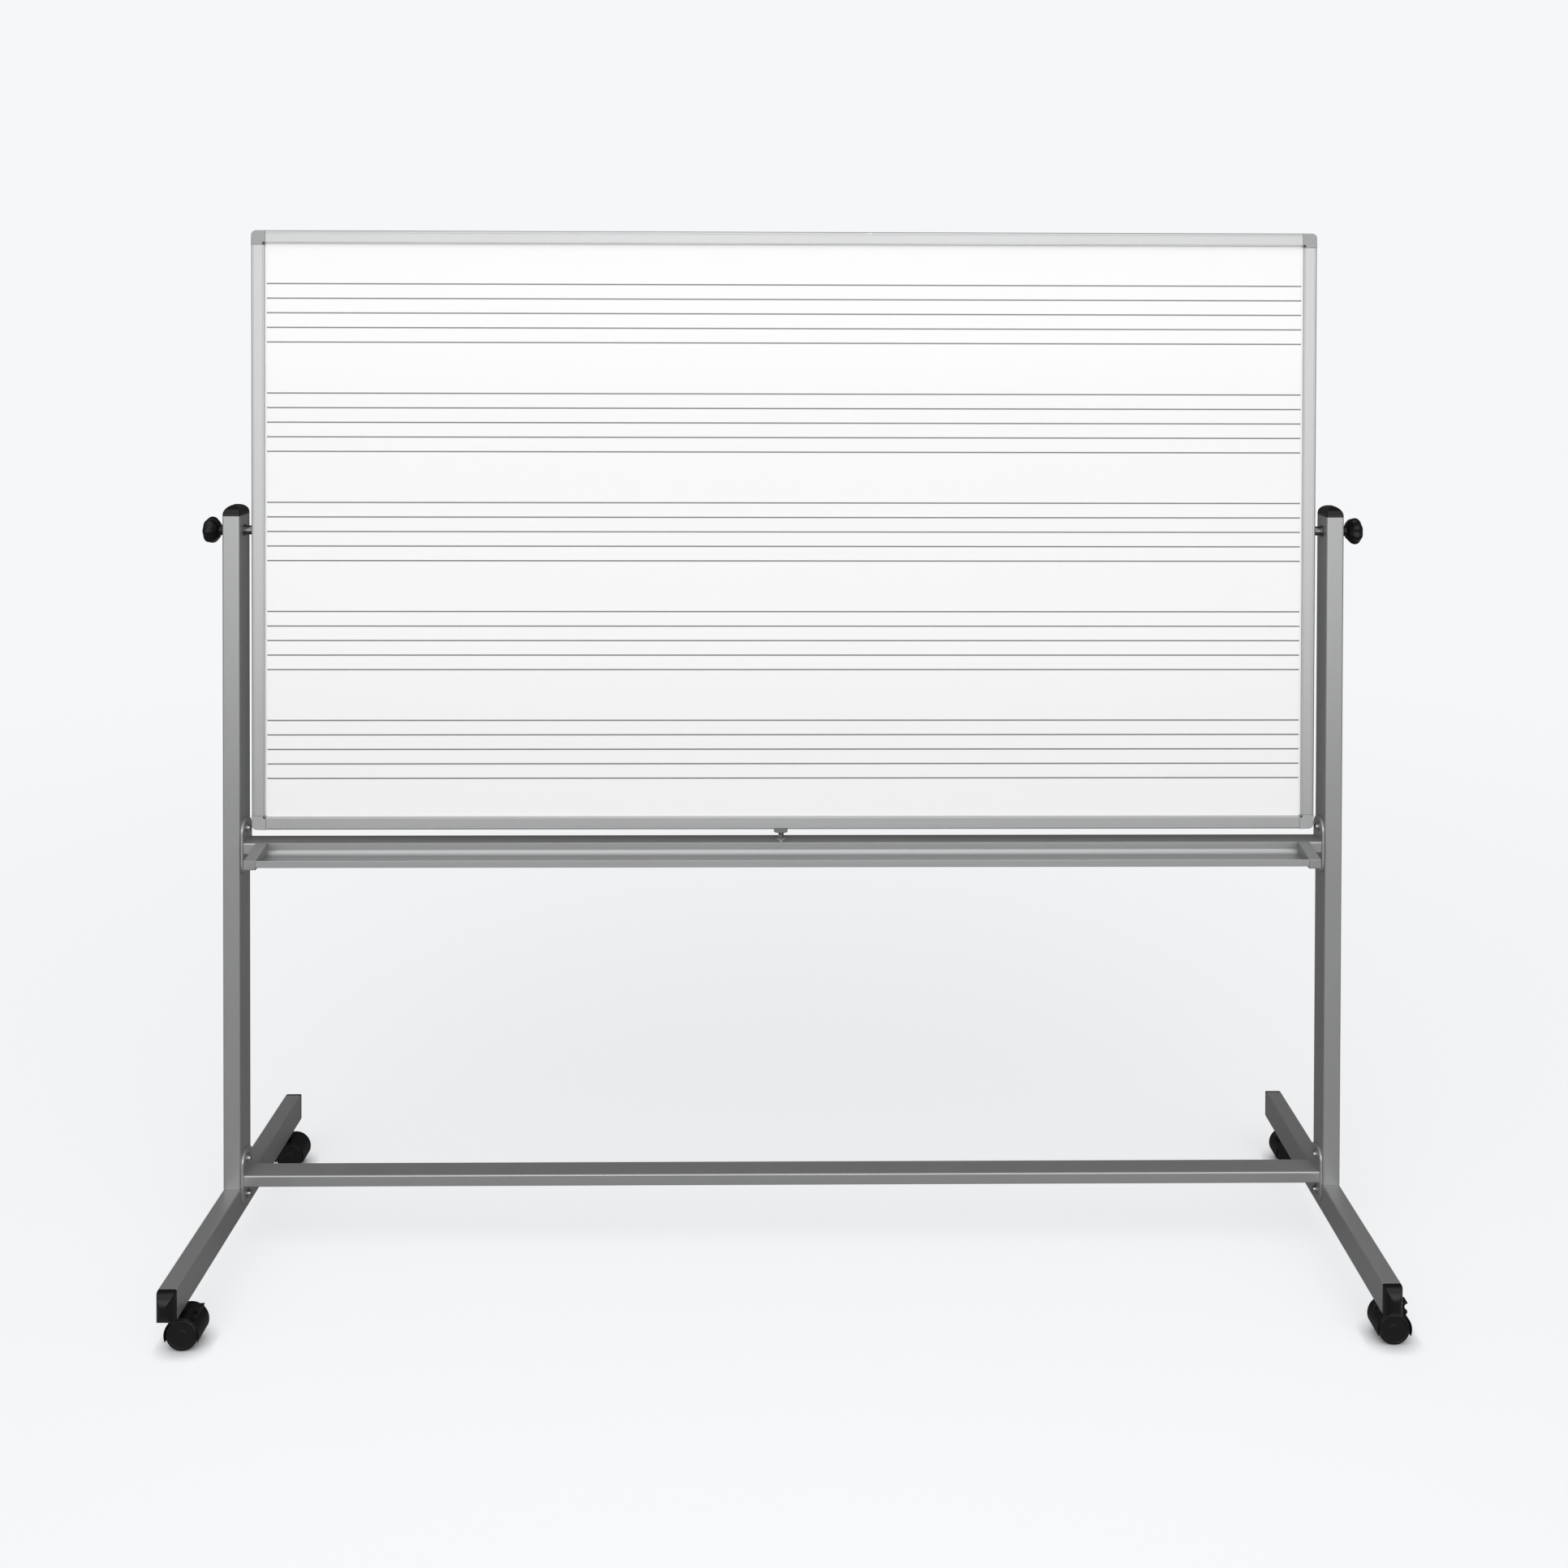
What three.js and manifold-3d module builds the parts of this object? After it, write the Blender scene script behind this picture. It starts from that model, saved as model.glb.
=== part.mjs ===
// Rolling whiteboard: a double-sided writing panel in an aluminium frame, hung between two
// uprights so that it turns over, on a steel stand with a marker tray and four casters.
// Millimetres, +X to the right, +Y to the back, +Z up, origin on the floor under the middle.
import * as THREE from 'three';
import { mergeVertices } from 'three/addons/utils/BufferGeometryUtils.js';
import Module from 'manifold-3d';

const wasm = await Module();
wasm.setup();

// ---- Driving dimensions ------------------------------------------------------------------

// Clearances
const fit = 0.3;                // between pieces that fit together
const holeFit = 0.6;            // a hole's diameter over that of what passes through it
const overlap = 1;              // how far shapes run into each other where they are joined or cut

// Writing panel: a core with a steel sheet bonded to each face
const panelWidth = 1829;
const panelHeight = 1016;
const coreThickness = 11;
const sheetThickness = 0.5;

// Aluminium rails round the panel
const railFace = 22.5;          // seen from the front, inner edge to outer edge
const railDepth = 22;
const railWall = 1.5;
const railLipWall = 2;          // wall of the two lips that cover the panel's edge
const railOverlap = 8;          // how far a rail covers the panel's edge
const railRound = 3;            // rounding of the outer corners
const lipWidth = 2;             // step along the inner edge
const lipDrop = 0.7;
const grooveInset = 4.5;        // fine groove, measured from the outer edge
const grooveWidth = 0.8;
const grooveDepth = 0.5;

// Corner caps
const cornerReach = 2.5;        // how far a cap runs past the rails' crossing
const cornerRound = 9;
const cornerInnerRound = 2.5;
const cornerProud = 0.5;        // how far a cap stands out from the rails' faces
const cornerLegLength = 25;

// Pivots and hand knobs
const pivotHeight = 1257;
const pivotGap = 15;            // from the board's side to the upright
const boltDiameter = 10;
const boltEngagement = 11;      // how far the knob's bolt reaches into the board
const spacerDiameter = 16;
const spacerFlange = 20;
const spacerFlangeThickness = 2;
const insertHeight = 40;
const insertBoss = 14;
const knobDiameter = 48;
const knobNeck = 18;
const knobNeckLength = 11;
const knobHeadLength = 28;
const knobLobes = 7;
const knobLobeDepth = 2.6;
const knobCurve = [             // the head's shape, in shares of its radius and of its length
  [0.62, 0.1],
  [0.9, 0.32],
  [1, 0.52],
  [0.95, 0.72],
  [0.75, 0.9],
  [0.4, 0.98],
];

// Steel tube of the uprights and the feet
const tubeWidth = 30;
const tubeDepth = 50;
const tubeWall = 1.5;
const tubeCorner = 3;
const pivotToTop = 27;          // from the pivot to the upright's top
const footLength = 570;
const domeHeight = 18;
const plugLength = 14;
const plugWall = 2;

// Crossbars and the plates at their ends
const barDepth = 40;
const barHeight = 20;
const barWall = 1.5;
const barCorner = 2.5;
const lowerBarRise = 11;        // centre of the lower crossbar above the feet
const plateThickness = 4;
const plateEnd = 18;            // from a bolt to the plate's end
const roundEnd = 0.01;          // shortest flat left between the arcs of a plate's round end
const boltSpacing = 62;
const drainHole = 5;
const drainInset = 80;          // from the plate to the drain hole

// Frame bolts
const frameBolt = 6;
const frameBoltLength = 18;
const washerDiameter = 16;
const washerThickness = 1.5;
const boltHeadDiameter = 11;
const boltHeadHeight = 4.5;
const boltHeadCurve = [         // the head's shape, in shares of its radius and of its height
  [0.92, 0.5],
  [0.55, 0.92],
];
const weldNutDiameter = 12;
const weldNutHeight = 6;

// Marker tray on the upper crossbar
const trayDepth = 60;
const trayWall = 1.5;
const trayRise = 0.8;           // how far its back stands above and below the crossbar
const trayLip = 12;
const trayCove = 9;
const trayEndGap = 27;          // from the tray's end cap to the upright
const trayCapLength = 20;
const trayCapWall = 2;
const trayCapFoot = 4;          // how far the cap reaches below the tray
const trayCapRound = 2;

// Catch that holds the board upright
const catchX = -7;
const catchGap = 19.7;          // from the board's bottom to the crossbar
const strikerWidth = 24;
const strikerThickness = 5;
const strikerEar = 2.5;
const strikerEarWall = 1.5;
const strikerTaper = 3;         // how far its ends slope in towards the bottom
const strikerFoot = 2;          // height of the rounding at the stem's tip
const stemWidth = 8.6;
const stemDepth = 12;
const clipWidth = 15;
const clipHeight = 2.2;
const clipLength = 34;
const clipNose = 4;             // width of its front end
const clipFlank = 4;            // length of its widest part
const catchClearance = 0.5;
const studDiameter = 5;
const studLength = 5;

// Casters
const wheelDiameter = 50;
const wheelWidth = 13.2;
const wheelRim = 3;
const wheelFace = 2.5;
const wheelHub = 10;
const wheelRound = 1.6;         // chamfer of its outer edge
const wheelInnerRound = 0.8;    // chamfer of its inner edge
const casterWidth = 42;
const casterTrail = 13;         // from the swivel axis to the axle
const casterInset = 40;         // from the foot's end to the swivel axis
const footRise = 12.6;          // from the wheels' top to the foot
const axleDiameter = 6;
const axleEndGap = 1;           // from the axle's end to the wheel's closed face
const hoodGap = 1;              // between the wheels and the hood
const webGap = 0.6;             // between the wheels and the hood's web
const hoodWall = 2;
const hoodSkirt = 9;            // how far the hood reaches below the axle
const neckDiameter = 17;
const neckFlare = 3;            // how much wider the neck's radius grows at its foot
const neckFlareHeight = 4;      // length of the straight part above the flare
const neckRoot = 6;             // how far the neck reaches down into the web
const swivelPin = 8;
const swivelPinReach = 14;      // how far the pin runs below the wheels' top
const collarDiameter = 20;
const collarThickness = 2.5;
const stemDiameter = 10;
const stemLength = 22;
const footNutDiameter = 18;
const footNutHeight = 8;

// Brake levers on the front casters
const brakeAngle = 55;          // the lever's pin, in degrees round the axle from the horizontal
const brakeReach = 5;           // the pin's distance outside the wheel
const brakePin = 3;
const brakeWidth = 24;
const brakeHub = 7;
const brakeNose = 4.6;          // the cam's reach from the pin
const brakeNoseTurn = 18;       // how far the nose is turned from the wheel, in degrees
const brakeLug = 8.4;
const brakeLugWidth = 2.6;
const tabWidth = 14;
const tabThickness = 2.8;
const tabRoot = 6;              // thickness of the tab's root, on the lever's hub
const tabFall = 1.6;            // how far the tab's top falls back towards the hood
const tabReach = 9;             // how far the tab stands out from the pin
const brakeSlack = 0.8;         // room round the cam in the hood's pocket
const brakeNoseShare = 0.35;    // the nose's width, as a share of the hub's

// Flats on round shapes
const pivotFacets = 16;
const knobFacetsPerLobe = 4;
const boltFacets = 10;
const nutFacets = 6;
const casterFacets = 12;
const wheelFacets = 20;
const brakeFacets = 10;
const hoodCurve = 7;            // half the flats of the hood's arc
const tubeCurve = 1;            // flats round a tube's corner
const roundCurve = 4;           // flats round a wider corner

// ---- Sizes that follow from them ---------------------------------------------------------

const panelThickness = coreThickness + 2 * sheetThickness;
const railOut = railFace - railOverlap;
const boardWidth = panelWidth + 2 * railOut;
const boardHeight = panelHeight + 2 * railOut;
const cornerLeg = railFace + cornerReach;
const channelHalf = panelThickness / 2 + fit;
const chamberInner = fit + railWall;
const chamberOuter = railOut - railWall;
const chamberHalf = railDepth / 2 - railWall;
const pocketHalf = railDepth / 2 - railLipWall;

const uprightInner = boardWidth / 2 + pivotGap;
const uprightX = uprightInner + tubeWidth / 2;
const uprightOuter = uprightInner + tubeWidth;
const footUnderside = wheelDiameter + footRise;
const footTop = footUnderside + tubeDepth;
const uprightBottom = footTop + fit;
const uprightTop = pivotHeight + pivotToTop;
const boardBottom = pivotHeight - boardHeight / 2;
const lowerBarZ = footTop + lowerBarRise;
const upperBarZ = boardBottom - catchGap - barHeight / 2;
const plateFace = uprightInner - plateThickness;
const plateWidth = tubeDepth - 2 * tubeCorner;
const plateHeight = boltSpacing + 2 * plateEnd;
const swivelY = footLength / 2 - casterInset;

const trayEnd = uprightInner - trayEndGap;
const trayLength = 2 * (trayEnd - trayCapWall - fit);
const trayHeight = barHeight + 2 * trayRise;

const wheelRadius = wheelDiameter / 2;
const hoodInner = wheelRadius + hoodGap;
const hoodOuter = hoodInner + hoodWall;
const wheelInnerY = casterWidth / 2 - hoodGap / 2 - wheelWidth;
const webHalf = wheelInnerY - webGap;

// ---- Finishes ----------------------------------------------------------------------------

const finishes = {
  paint: { color: 0x8c8e8f, roughness: 0.45, metalness: 0.35 },
  aluminium: { color: 0xc4c6c6, roughness: 0.38, metalness: 0.7 },
  enamel: { color: 0xfbfbfb, roughness: 0.12, metalness: 0.0 },
  core: { color: 0xb59a73, roughness: 0.9, metalness: 0.0 },
  greyPlastic: { color: 0xa3a5a6, roughness: 0.5, metalness: 0.0 },
  blackPlastic: { color: 0x131314, roughness: 0.4, metalness: 0.0 },
  tread: { color: 0x1a1a1b, roughness: 0.6, metalness: 0.0 },
  zinc: { color: 0xc9cacb, roughness: 0.25, metalness: 0.95 },
};

// ---- Geometry helpers --------------------------------------------------------------------

/** Makes a closed geometry into a solid with its faces outwards, which can be joined and cut. */
function solid(geometry) {
  const bare = new THREE.BufferGeometry();
  bare.setAttribute('position', geometry.attributes.position.clone());
  if (geometry.index) {
    bare.setIndex(geometry.index.clone());
  }
  const merged = mergeVertices(bare, 1e-4);
  const vertProperties = merged.attributes.position.array;
  const corner = (index) => new THREE.Vector3().fromArray(vertProperties, 3 * index);
  const triangles = [];
  let volume = 0;
  for (let i = 0; i < merged.index.count; i += 3) {
    const [a, b, c] = [0, 1, 2].map((step) => merged.index.getX(i + step));
    if (a !== b && b !== c && c !== a) {
      triangles.push([a, b, c]);
      volume += corner(a).dot(corner(b).cross(corner(c)));
    }
  }
  const outward = volume > 0 ? triangles : triangles.map((triangle) => triangle.reverse());
  const mesh = new wasm.Mesh({ numProp: 3, vertProperties, triVerts: new Uint32Array(outward.flat()) });
  return new wasm.Manifold(mesh);
}

/** Gives a solid back as a three.js geometry. */
function toGeometry(body) {
  const mesh = body.getMesh();
  const geometry = new THREE.BufferGeometry();
  geometry.setAttribute('position', new THREE.BufferAttribute(new Float32Array(mesh.vertProperties), 3));
  geometry.setIndex(new THREE.BufferAttribute(new Uint32Array(mesh.triVerts), 1));
  geometry.computeVertexNormals();
  return geometry;
}

const basis = (x, y, z) => new THREE.Matrix4().makeBasis(
  new THREE.Vector3(...x),
  new THREE.Vector3(...y),
  new THREE.Vector3(...z),
);

/** An outline drawn in (Y, Z) and extruded along X. */
const profileAlongX = basis([0, 1, 0], [0, 0, 1], [1, 0, 0]);

/** An outline drawn in (X, Z) and extruded along Y. It also stands a turned shape's axis on Z. */
const profileAlongY = basis([1, 0, 0], [0, 0, 1], [0, -1, 0]);

/** Lays a turned shape's axis along X. */
const turnedAlongX = basis([0, 1, 0], [1, 0, 0], [0, 0, -1]);

/** Extrudes an outline along Z, from 0 or centred. */
function extrude(shape, length, { centred = true, curve = 3 } = {}) {
  const geometry = new THREE.ExtrudeGeometry(shape, {
    depth: length,
    bevelEnabled: false,
    curveSegments: curve,
  });
  return centred ? geometry.translate(0, 0, -length / 2) : geometry;
}

/** Rectangle centred on the origin, with rounded corners. */
function roundedRectangle(width, height, radius) {
  const x = width / 2 - radius;
  const y = height / 2 - radius;
  const quarter = Math.PI / 2;
  const shape = new THREE.Shape();
  shape.absarc(x, y, radius, 0, quarter);
  shape.absarc(-x, y, radius, quarter, 2 * quarter);
  shape.absarc(-x, -y, radius, 2 * quarter, 3 * quarter);
  shape.absarc(x, -y, radius, 3 * quarter, 4 * quarter);
  shape.closePath();
  return shape;
}

/** Section of a rectangular tube. */
function tubeSection(width, height, corner, wall) {
  const shape = roundedRectangle(width, height, corner);
  const bore = roundedRectangle(width - 2 * wall, height - 2 * wall, Math.max(corner - wall, wall / 2));
  shape.holes.push(bore);
  return shape;
}

/** Outline through a list of points. */
const polygon = (points) => new THREE.Shape(points.map(([x, y]) => new THREE.Vector2(x, y)));

/** Block given by its lowest and highest corners. */
function block([x0, y0, z0], [x1, y1, z1]) {
  const geometry = new THREE.BoxGeometry(x1 - x0, y1 - y0, z1 - z0);
  return solid(geometry.translate((x0 + x1) / 2, (y0 + y1) / 2, (z0 + z1) / 2));
}

/** Round bar between two heights on its own axis, laid along X, Y or Z. */
function bar(diameter, from, to, along, segments = pivotFacets) {
  const geometry = new THREE.CylinderGeometry(diameter / 2, diameter / 2, to - from, segments);
  geometry.translate(0, (from + to) / 2, 0);
  if (along === 'x') {
    geometry.applyMatrix4(turnedAlongX);
  }
  if (along === 'z') {
    geometry.applyMatrix4(profileAlongY);
  }
  return solid(geometry);
}

/** Turned shape from a profile of [radius, height] points, about the Y axis. */
function turned(profile, segments) {
  return new THREE.LatheGeometry(profile.map(([r, h]) => new THREE.Vector2(r, h)), segments);
}

/** Makes a named mesh with a finish of its own and puts it into a group. */
function place(group, name, shape, finish) {
  const geometry = shape.isBufferGeometry ? shape : toGeometry(shape);
  const mesh = new THREE.Mesh(geometry, new THREE.MeshStandardMaterial(finishes[finish]));
  mesh.name = name;
  group.add(mesh);
  return mesh;
}

// ---- Board -------------------------------------------------------------------------------

/** Rail section: (outwards from the panel's edge, front to back). A channel grips the panel. */
function railSection() {
  const half = railDepth / 2;
  const inner = -railOverlap;
  const groove = railOut - grooveInset;
  const face = [
    [inner, half - lipDrop],
    [inner + lipWidth, half - lipDrop],
    [inner + lipWidth, half],
    [groove - grooveWidth, half],
    [groove - grooveWidth, half - grooveDepth],
    [groove, half - grooveDepth],
    [groove, half],
    [railOut - railRound, half],
  ];
  const shape = polygon(face);
  shape.absarc(railOut - railRound, half - railRound, railRound, Math.PI / 2, 0, true);
  shape.absarc(railOut - railRound, -half + railRound, railRound, 0, -Math.PI / 2, true);
  face.reverse().slice(1).forEach(([u, y]) => shape.lineTo(u, -y));
  shape.lineTo(inner, -channelHalf);
  shape.lineTo(inner + railWall, -channelHalf);
  shape.lineTo(inner + railWall, -pocketHalf);
  shape.lineTo(fit, -pocketHalf);
  shape.lineTo(fit, pocketHalf);
  shape.lineTo(inner + railWall, pocketHalf);
  shape.lineTo(inner + railWall, channelHalf);
  shape.lineTo(inner, channelHalf);
  shape.closePath();
  shape.holes.push(new THREE.Path([
    new THREE.Vector2(chamberInner, -chamberHalf),
    new THREE.Vector2(chamberOuter, -chamberHalf),
    new THREE.Vector2(chamberOuter, chamberHalf),
    new THREE.Vector2(chamberInner, chamberHalf),
  ]));
  return shape;
}

/** Side rail on the +X side, drilled for its pivot insert. */
function sideRail() {
  const length = boardHeight - 2 * (cornerLeg + fit);
  const rail = solid(extrude(railSection(), length).translate(panelWidth / 2, 0, 0));
  const hole = bar(insertBoss + holeFit, boardWidth / 2 - 2 * railWall, boardWidth / 2 + overlap, 'x');
  return rail.subtract(hole);
}

/** Bottom rail, its outer edge down, drilled for the striker's stud. */
function bottomRail() {
  const length = boardWidth - 2 * (cornerLeg + fit);
  const downward = basis([0, 0, -1], [0, 1, 0], [1, 0, 0]);
  const geometry = extrude(railSection(), length).applyMatrix4(downward);
  const rail = solid(geometry.translate(0, 0, -panelHeight / 2));
  const edge = -boardHeight / 2;
  const hole = bar(studDiameter + holeFit, edge - overlap, edge + 2 * railWall, 'z', boltFacets);
  return rail.subtract(hole.translate(catchX, 0, 0));
}

/** Top rail. */
function topRail() {
  const length = boardWidth - 2 * (cornerLeg + fit);
  const upward = basis([0, 0, 1], [0, 1, 0], [-1, 0, 0]);
  return extrude(railSection(), length).applyMatrix4(upward).translate(0, 0, panelHeight / 2);
}

/** Corner cap in (outwards, upwards) from the panel's top right corner, slotted for the panel. */
function cornerCap() {
  const inner = -railOverlap;
  const end = railOut - cornerLeg;
  const shape = new THREE.Shape();
  shape.moveTo(inner, end);
  shape.lineTo(railOut, end);
  shape.absarc(railOut - cornerRound, railOut - cornerRound, cornerRound, 0, Math.PI / 2);
  shape.lineTo(end, railOut);
  shape.lineTo(end, inner);
  shape.absarc(inner - cornerInnerRound, inner - cornerInnerRound, cornerInnerRound, Math.PI / 2, 0, true);
  shape.closePath();
  const body = solid(extrude(shape, railDepth + 2 * cornerProud).applyMatrix4(profileAlongY));
  const slot = block([-2 * cornerLeg, -channelHalf, -2 * cornerLeg], [fit, channelHalf, fit]);
  const near = chamberInner + fit;
  const far = chamberOuter - fit;
  const side = chamberHalf - fit;
  const down = block([near, -side, end - cornerLegLength], [far, side, end + overlap]);
  const across = block([end - cornerLegLength, -side, near], [end + overlap, side, far]);
  return body.subtract(slot).add(down).add(across);
}

/** Threaded block in the right side rail, with a boss through the rail's outer wall. */
function pivotInsert() {
  const near = panelWidth / 2 + chamberInner + fit;
  const far = panelWidth / 2 + chamberOuter - fit;
  const side = chamberHalf - fit;
  const body = block([near, -side, -insertHeight / 2], [far, side, insertHeight / 2]);
  const boss = bar(insertBoss, far - overlap, boardWidth / 2, 'x');
  const bore = bar(boltDiameter + holeFit, near - overlap, boardWidth / 2 + overlap, 'x');
  return body.add(boss).subtract(bore);
}

/** Steel spacer in the gap between the board and the right upright, flanged at the upright. */
function pivotSpacer() {
  const bore = (boltDiameter + holeFit) / 2;
  const start = boardWidth / 2 + fit;
  const end = uprightInner - fit;
  const profile = [
    [bore, start],
    [spacerDiameter / 2, start],
    [spacerDiameter / 2, end - spacerFlangeThickness],
    [spacerFlange / 2, end - spacerFlangeThickness],
    [spacerFlange / 2, end],
    [bore, end],
    [bore, start],
  ];
  return solid(turned(profile, pivotFacets).applyMatrix4(turnedAlongX));
}

/** Striker: a plate hugging the bottom rail, and a stem that rides over the clip below it. */
function catchStriker() {
  const railBottom = -boardHeight / 2;
  const top = railBottom - fit;
  const bottom = top - strikerThickness;
  const half = railDepth / 2 + fit;
  const outer = half + strikerEarWall;
  const tip = upperBarZ + barHeight / 2 + clipHeight + catchClearance - pivotHeight;
  const section = polygon([
    [-outer, bottom],
    [outer, bottom],
    [outer, railBottom + strikerEar],
    [half, railBottom + strikerEar],
    [half, top],
    [-half, top],
    [-half, railBottom + strikerEar],
    [-outer, railBottom + strikerEar],
  ]);
  const saddle = solid(extrude(section, strikerWidth).applyMatrix4(profileAlongX));
  const taper = polygon([
    [-strikerWidth / 2, railBottom + strikerEar + overlap],
    [-strikerWidth / 2, top - overlap],
    [-strikerWidth / 2 + strikerTaper, bottom],
    [strikerWidth / 2 - strikerTaper, bottom],
    [strikerWidth / 2, top - overlap],
    [strikerWidth / 2, railBottom + strikerEar + overlap],
  ]);
  const plate = saddle.intersect(solid(extrude(taper, 3 * outer).applyMatrix4(profileAlongY)));
  const foot = new THREE.Shape();
  foot.moveTo(-stemDepth / 2, bottom + overlap);
  foot.lineTo(-stemDepth / 2, tip + strikerFoot);
  foot.quadraticCurveTo(-stemDepth / 2, tip, 0, tip);
  foot.quadraticCurveTo(stemDepth / 2, tip, stemDepth / 2, tip + strikerFoot);
  foot.lineTo(stemDepth / 2, bottom + overlap);
  const stem = solid(extrude(foot, stemWidth, { curve: roundCurve }).applyMatrix4(profileAlongX));
  const stud = bar(studDiameter, top - overlap, top + studLength, 'z', boltFacets);
  return plate.add(stem).add(stud).translate(catchX, 0, 0);
}

/** Panel, rails, corner caps, pivot hardware and striker, about the pivot's axis. */
function makeBoard() {
  const board = new THREE.Group();
  board.position.z = pivotHeight;
  const sheetY = (coreThickness + sheetThickness) / 2;
  const sheet = () => new THREE.BoxGeometry(panelWidth, sheetThickness, panelHeight);
  place(board, 'board_core', new THREE.BoxGeometry(panelWidth, coreThickness, panelHeight), 'core');
  place(board, 'front_sheet', sheet().translate(0, -sheetY, 0), 'enamel');
  place(board, 'rear_sheet', sheet().translate(0, sheetY, 0), 'enamel');
  place(board, 'rail_top', topRail(), 'aluminium');
  place(board, 'rail_bottom', bottomRail(), 'aluminium');
  for (const [side, name] of [[1, 'right'], [-1, 'left']]) {
    const half = new THREE.Group();
    half.rotation.z = side > 0 ? 0 : Math.PI;
    board.add(half);
    place(half, `rail_${name}`, sideRail(), 'aluminium');
    place(half, `pivot_insert_${name}`, pivotInsert(), 'zinc');
    place(half, `pivot_spacer_${name}`, pivotSpacer(), 'zinc');
    for (const [rise, level] of [[1, 'top'], [-1, 'bottom']]) {
      const corner = place(half, `corner_${level}_${name}`, cornerCap(), 'greyPlastic');
      corner.position.set(panelWidth / 2, 0, rise * panelHeight / 2);
      corner.rotation.y = rise > 0 ? 0 : Math.PI / 2;
    }
  }
  place(board, 'catch_striker', catchStriker(), 'greyPlastic');
  return board;
}

/** Right hand knob with its bolt, pointing outwards along +X from the upright. */
function handKnob() {
  const full = knobDiameter / 2;
  const neck = knobNeck / 2;
  const start = uprightOuter + fit;
  const shoulder = start + knobNeckLength;
  const profile = [
    [0, start],
    [neck, start],
    [neck, shoulder],
    ...knobCurve.map(([r, h]) => [r * full, shoulder + h * knobHeadLength]),
    [0, shoulder + knobHeadLength],
  ];
  const head = turned(profile, knobFacetsPerLobe * knobLobes);
  const points = head.attributes.position;
  for (let i = 0; i < points.count; i += 1) {
    const [x, z] = [points.getX(i), points.getZ(i)];
    const radius = Math.hypot(x, z);
    const lobe = 0.5 - 0.5 * Math.cos(knobLobes * Math.atan2(z, x));
    const share = Math.max(0, (radius - neck) / (full - neck));
    const scale = radius > neck ? 1 - (knobLobeDepth * share * lobe) / radius : 1;
    points.setX(i, x * scale);
    points.setZ(i, z * scale);
  }
  const shank = bar(boltDiameter, boardWidth / 2 - boltEngagement, start + overlap, 'x');
  return solid(head.applyMatrix4(turnedAlongX)).add(shank);
}

// ---- Stand -------------------------------------------------------------------------------

/** Adds a weld nut inside a tube's inner wall and drills both for a frame bolt. */
function threadInnerWall(body, height) {
  const inside = uprightInner + tubeWall;
  const end = inside + weldNutHeight;
  const nut = bar(weldNutDiameter, inside - overlap, end, 'x', nutFacets);
  const hole = bar(frameBolt + holeFit, uprightInner - overlap, end + overlap, 'x', boltFacets);
  return body.add(nut.translate(0, 0, height)).subtract(hole.translate(0, 0, height));
}

/** Right upright, drilled for its pivot bolt and for the plates' upper and lower bolts. */
function upright() {
  const length = uprightTop - uprightBottom;
  const section = tubeSection(tubeWidth, tubeDepth, tubeCorner, tubeWall);
  const tube = extrude(section, length, { centred: false, curve: tubeCurve });
  let body = solid(tube.translate(uprightX, 0, uprightBottom));
  const pivot = bar(boltDiameter + holeFit, uprightInner - overlap, uprightOuter + overlap, 'x');
  const boltHeights = [
    upperBarZ + boltSpacing / 2,
    upperBarZ - boltSpacing / 2,
    lowerBarZ + boltSpacing / 2,
  ];
  for (const height of boltHeights) {
    body = threadInnerWall(body, height);
  }
  return body.subtract(pivot.translate(0, 0, pivotHeight));
}

/** Right foot, drilled for the lower plate's bolt and for its two casters. */
function foot() {
  const middle = footUnderside + tubeDepth / 2;
  const section = tubeSection(tubeWidth, tubeDepth, tubeCorner, tubeWall);
  const tube = extrude(section, footLength, { curve: tubeCurve }).applyMatrix4(profileAlongY);
  let body = solid(tube.translate(uprightX, 0, middle));
  body = threadInnerWall(body, lowerBarZ - boltSpacing / 2);
  const floor = footUnderside + tubeWall;
  const nutTop = floor + footNutHeight;
  const nut = bar(footNutDiameter, floor - overlap, nutTop, 'z', nutFacets);
  const bore = bar(stemDiameter + holeFit, footUnderside - overlap, nutTop + overlap, 'z', casterFacets);
  for (const y of [-swivelY, swivelY]) {
    body = body.add(nut.translate(uprightX, y, 0)).subtract(bore.translate(uprightX, y, 0));
  }
  return body;
}

/** Moulded cap for a tube's end: crossing vaults over the tube's outline, and a hollow plug. */
function tubeCap() {
  const arch = (width) => {
    const shape = new THREE.Shape();
    shape.absellipse(0, 0, width / 2, domeHeight, 0, Math.PI);
    shape.closePath();
    return shape;
  };
  const outline = roundedRectangle(tubeWidth, tubeDepth, tubeCorner);
  const vault = (width, length) => extrude(arch(width), length, { curve: roundCurve });
  const across = solid(vault(tubeWidth, 2 * tubeDepth).applyMatrix4(profileAlongY));
  const along = solid(vault(tubeDepth, 2 * tubeWidth).applyMatrix4(profileAlongX));
  const prism = solid(extrude(outline, 2 * domeHeight, { curve: tubeCurve }));
  const inset = 2 * (tubeWall + fit);
  const plugWidth = tubeWidth - inset;
  const plugDepth = tubeDepth - inset;
  const plugOutline = roundedRectangle(plugWidth, plugDepth, tubeCorner);
  const plug = solid(extrude(plugOutline, plugLength + overlap, { centred: false, curve: tubeCurve }))
    .translate(0, 0, -plugLength);
  const hollowX = plugWidth / 2 - plugWall;
  const hollowY = plugDepth / 2 - plugWall;
  const hollow = block([-hollowX, -hollowY, -plugLength - overlap], [hollowX, hollowY, -plugWall]);
  return across.intersect(along).intersect(prism).add(plug).subtract(hollow);
}

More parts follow.
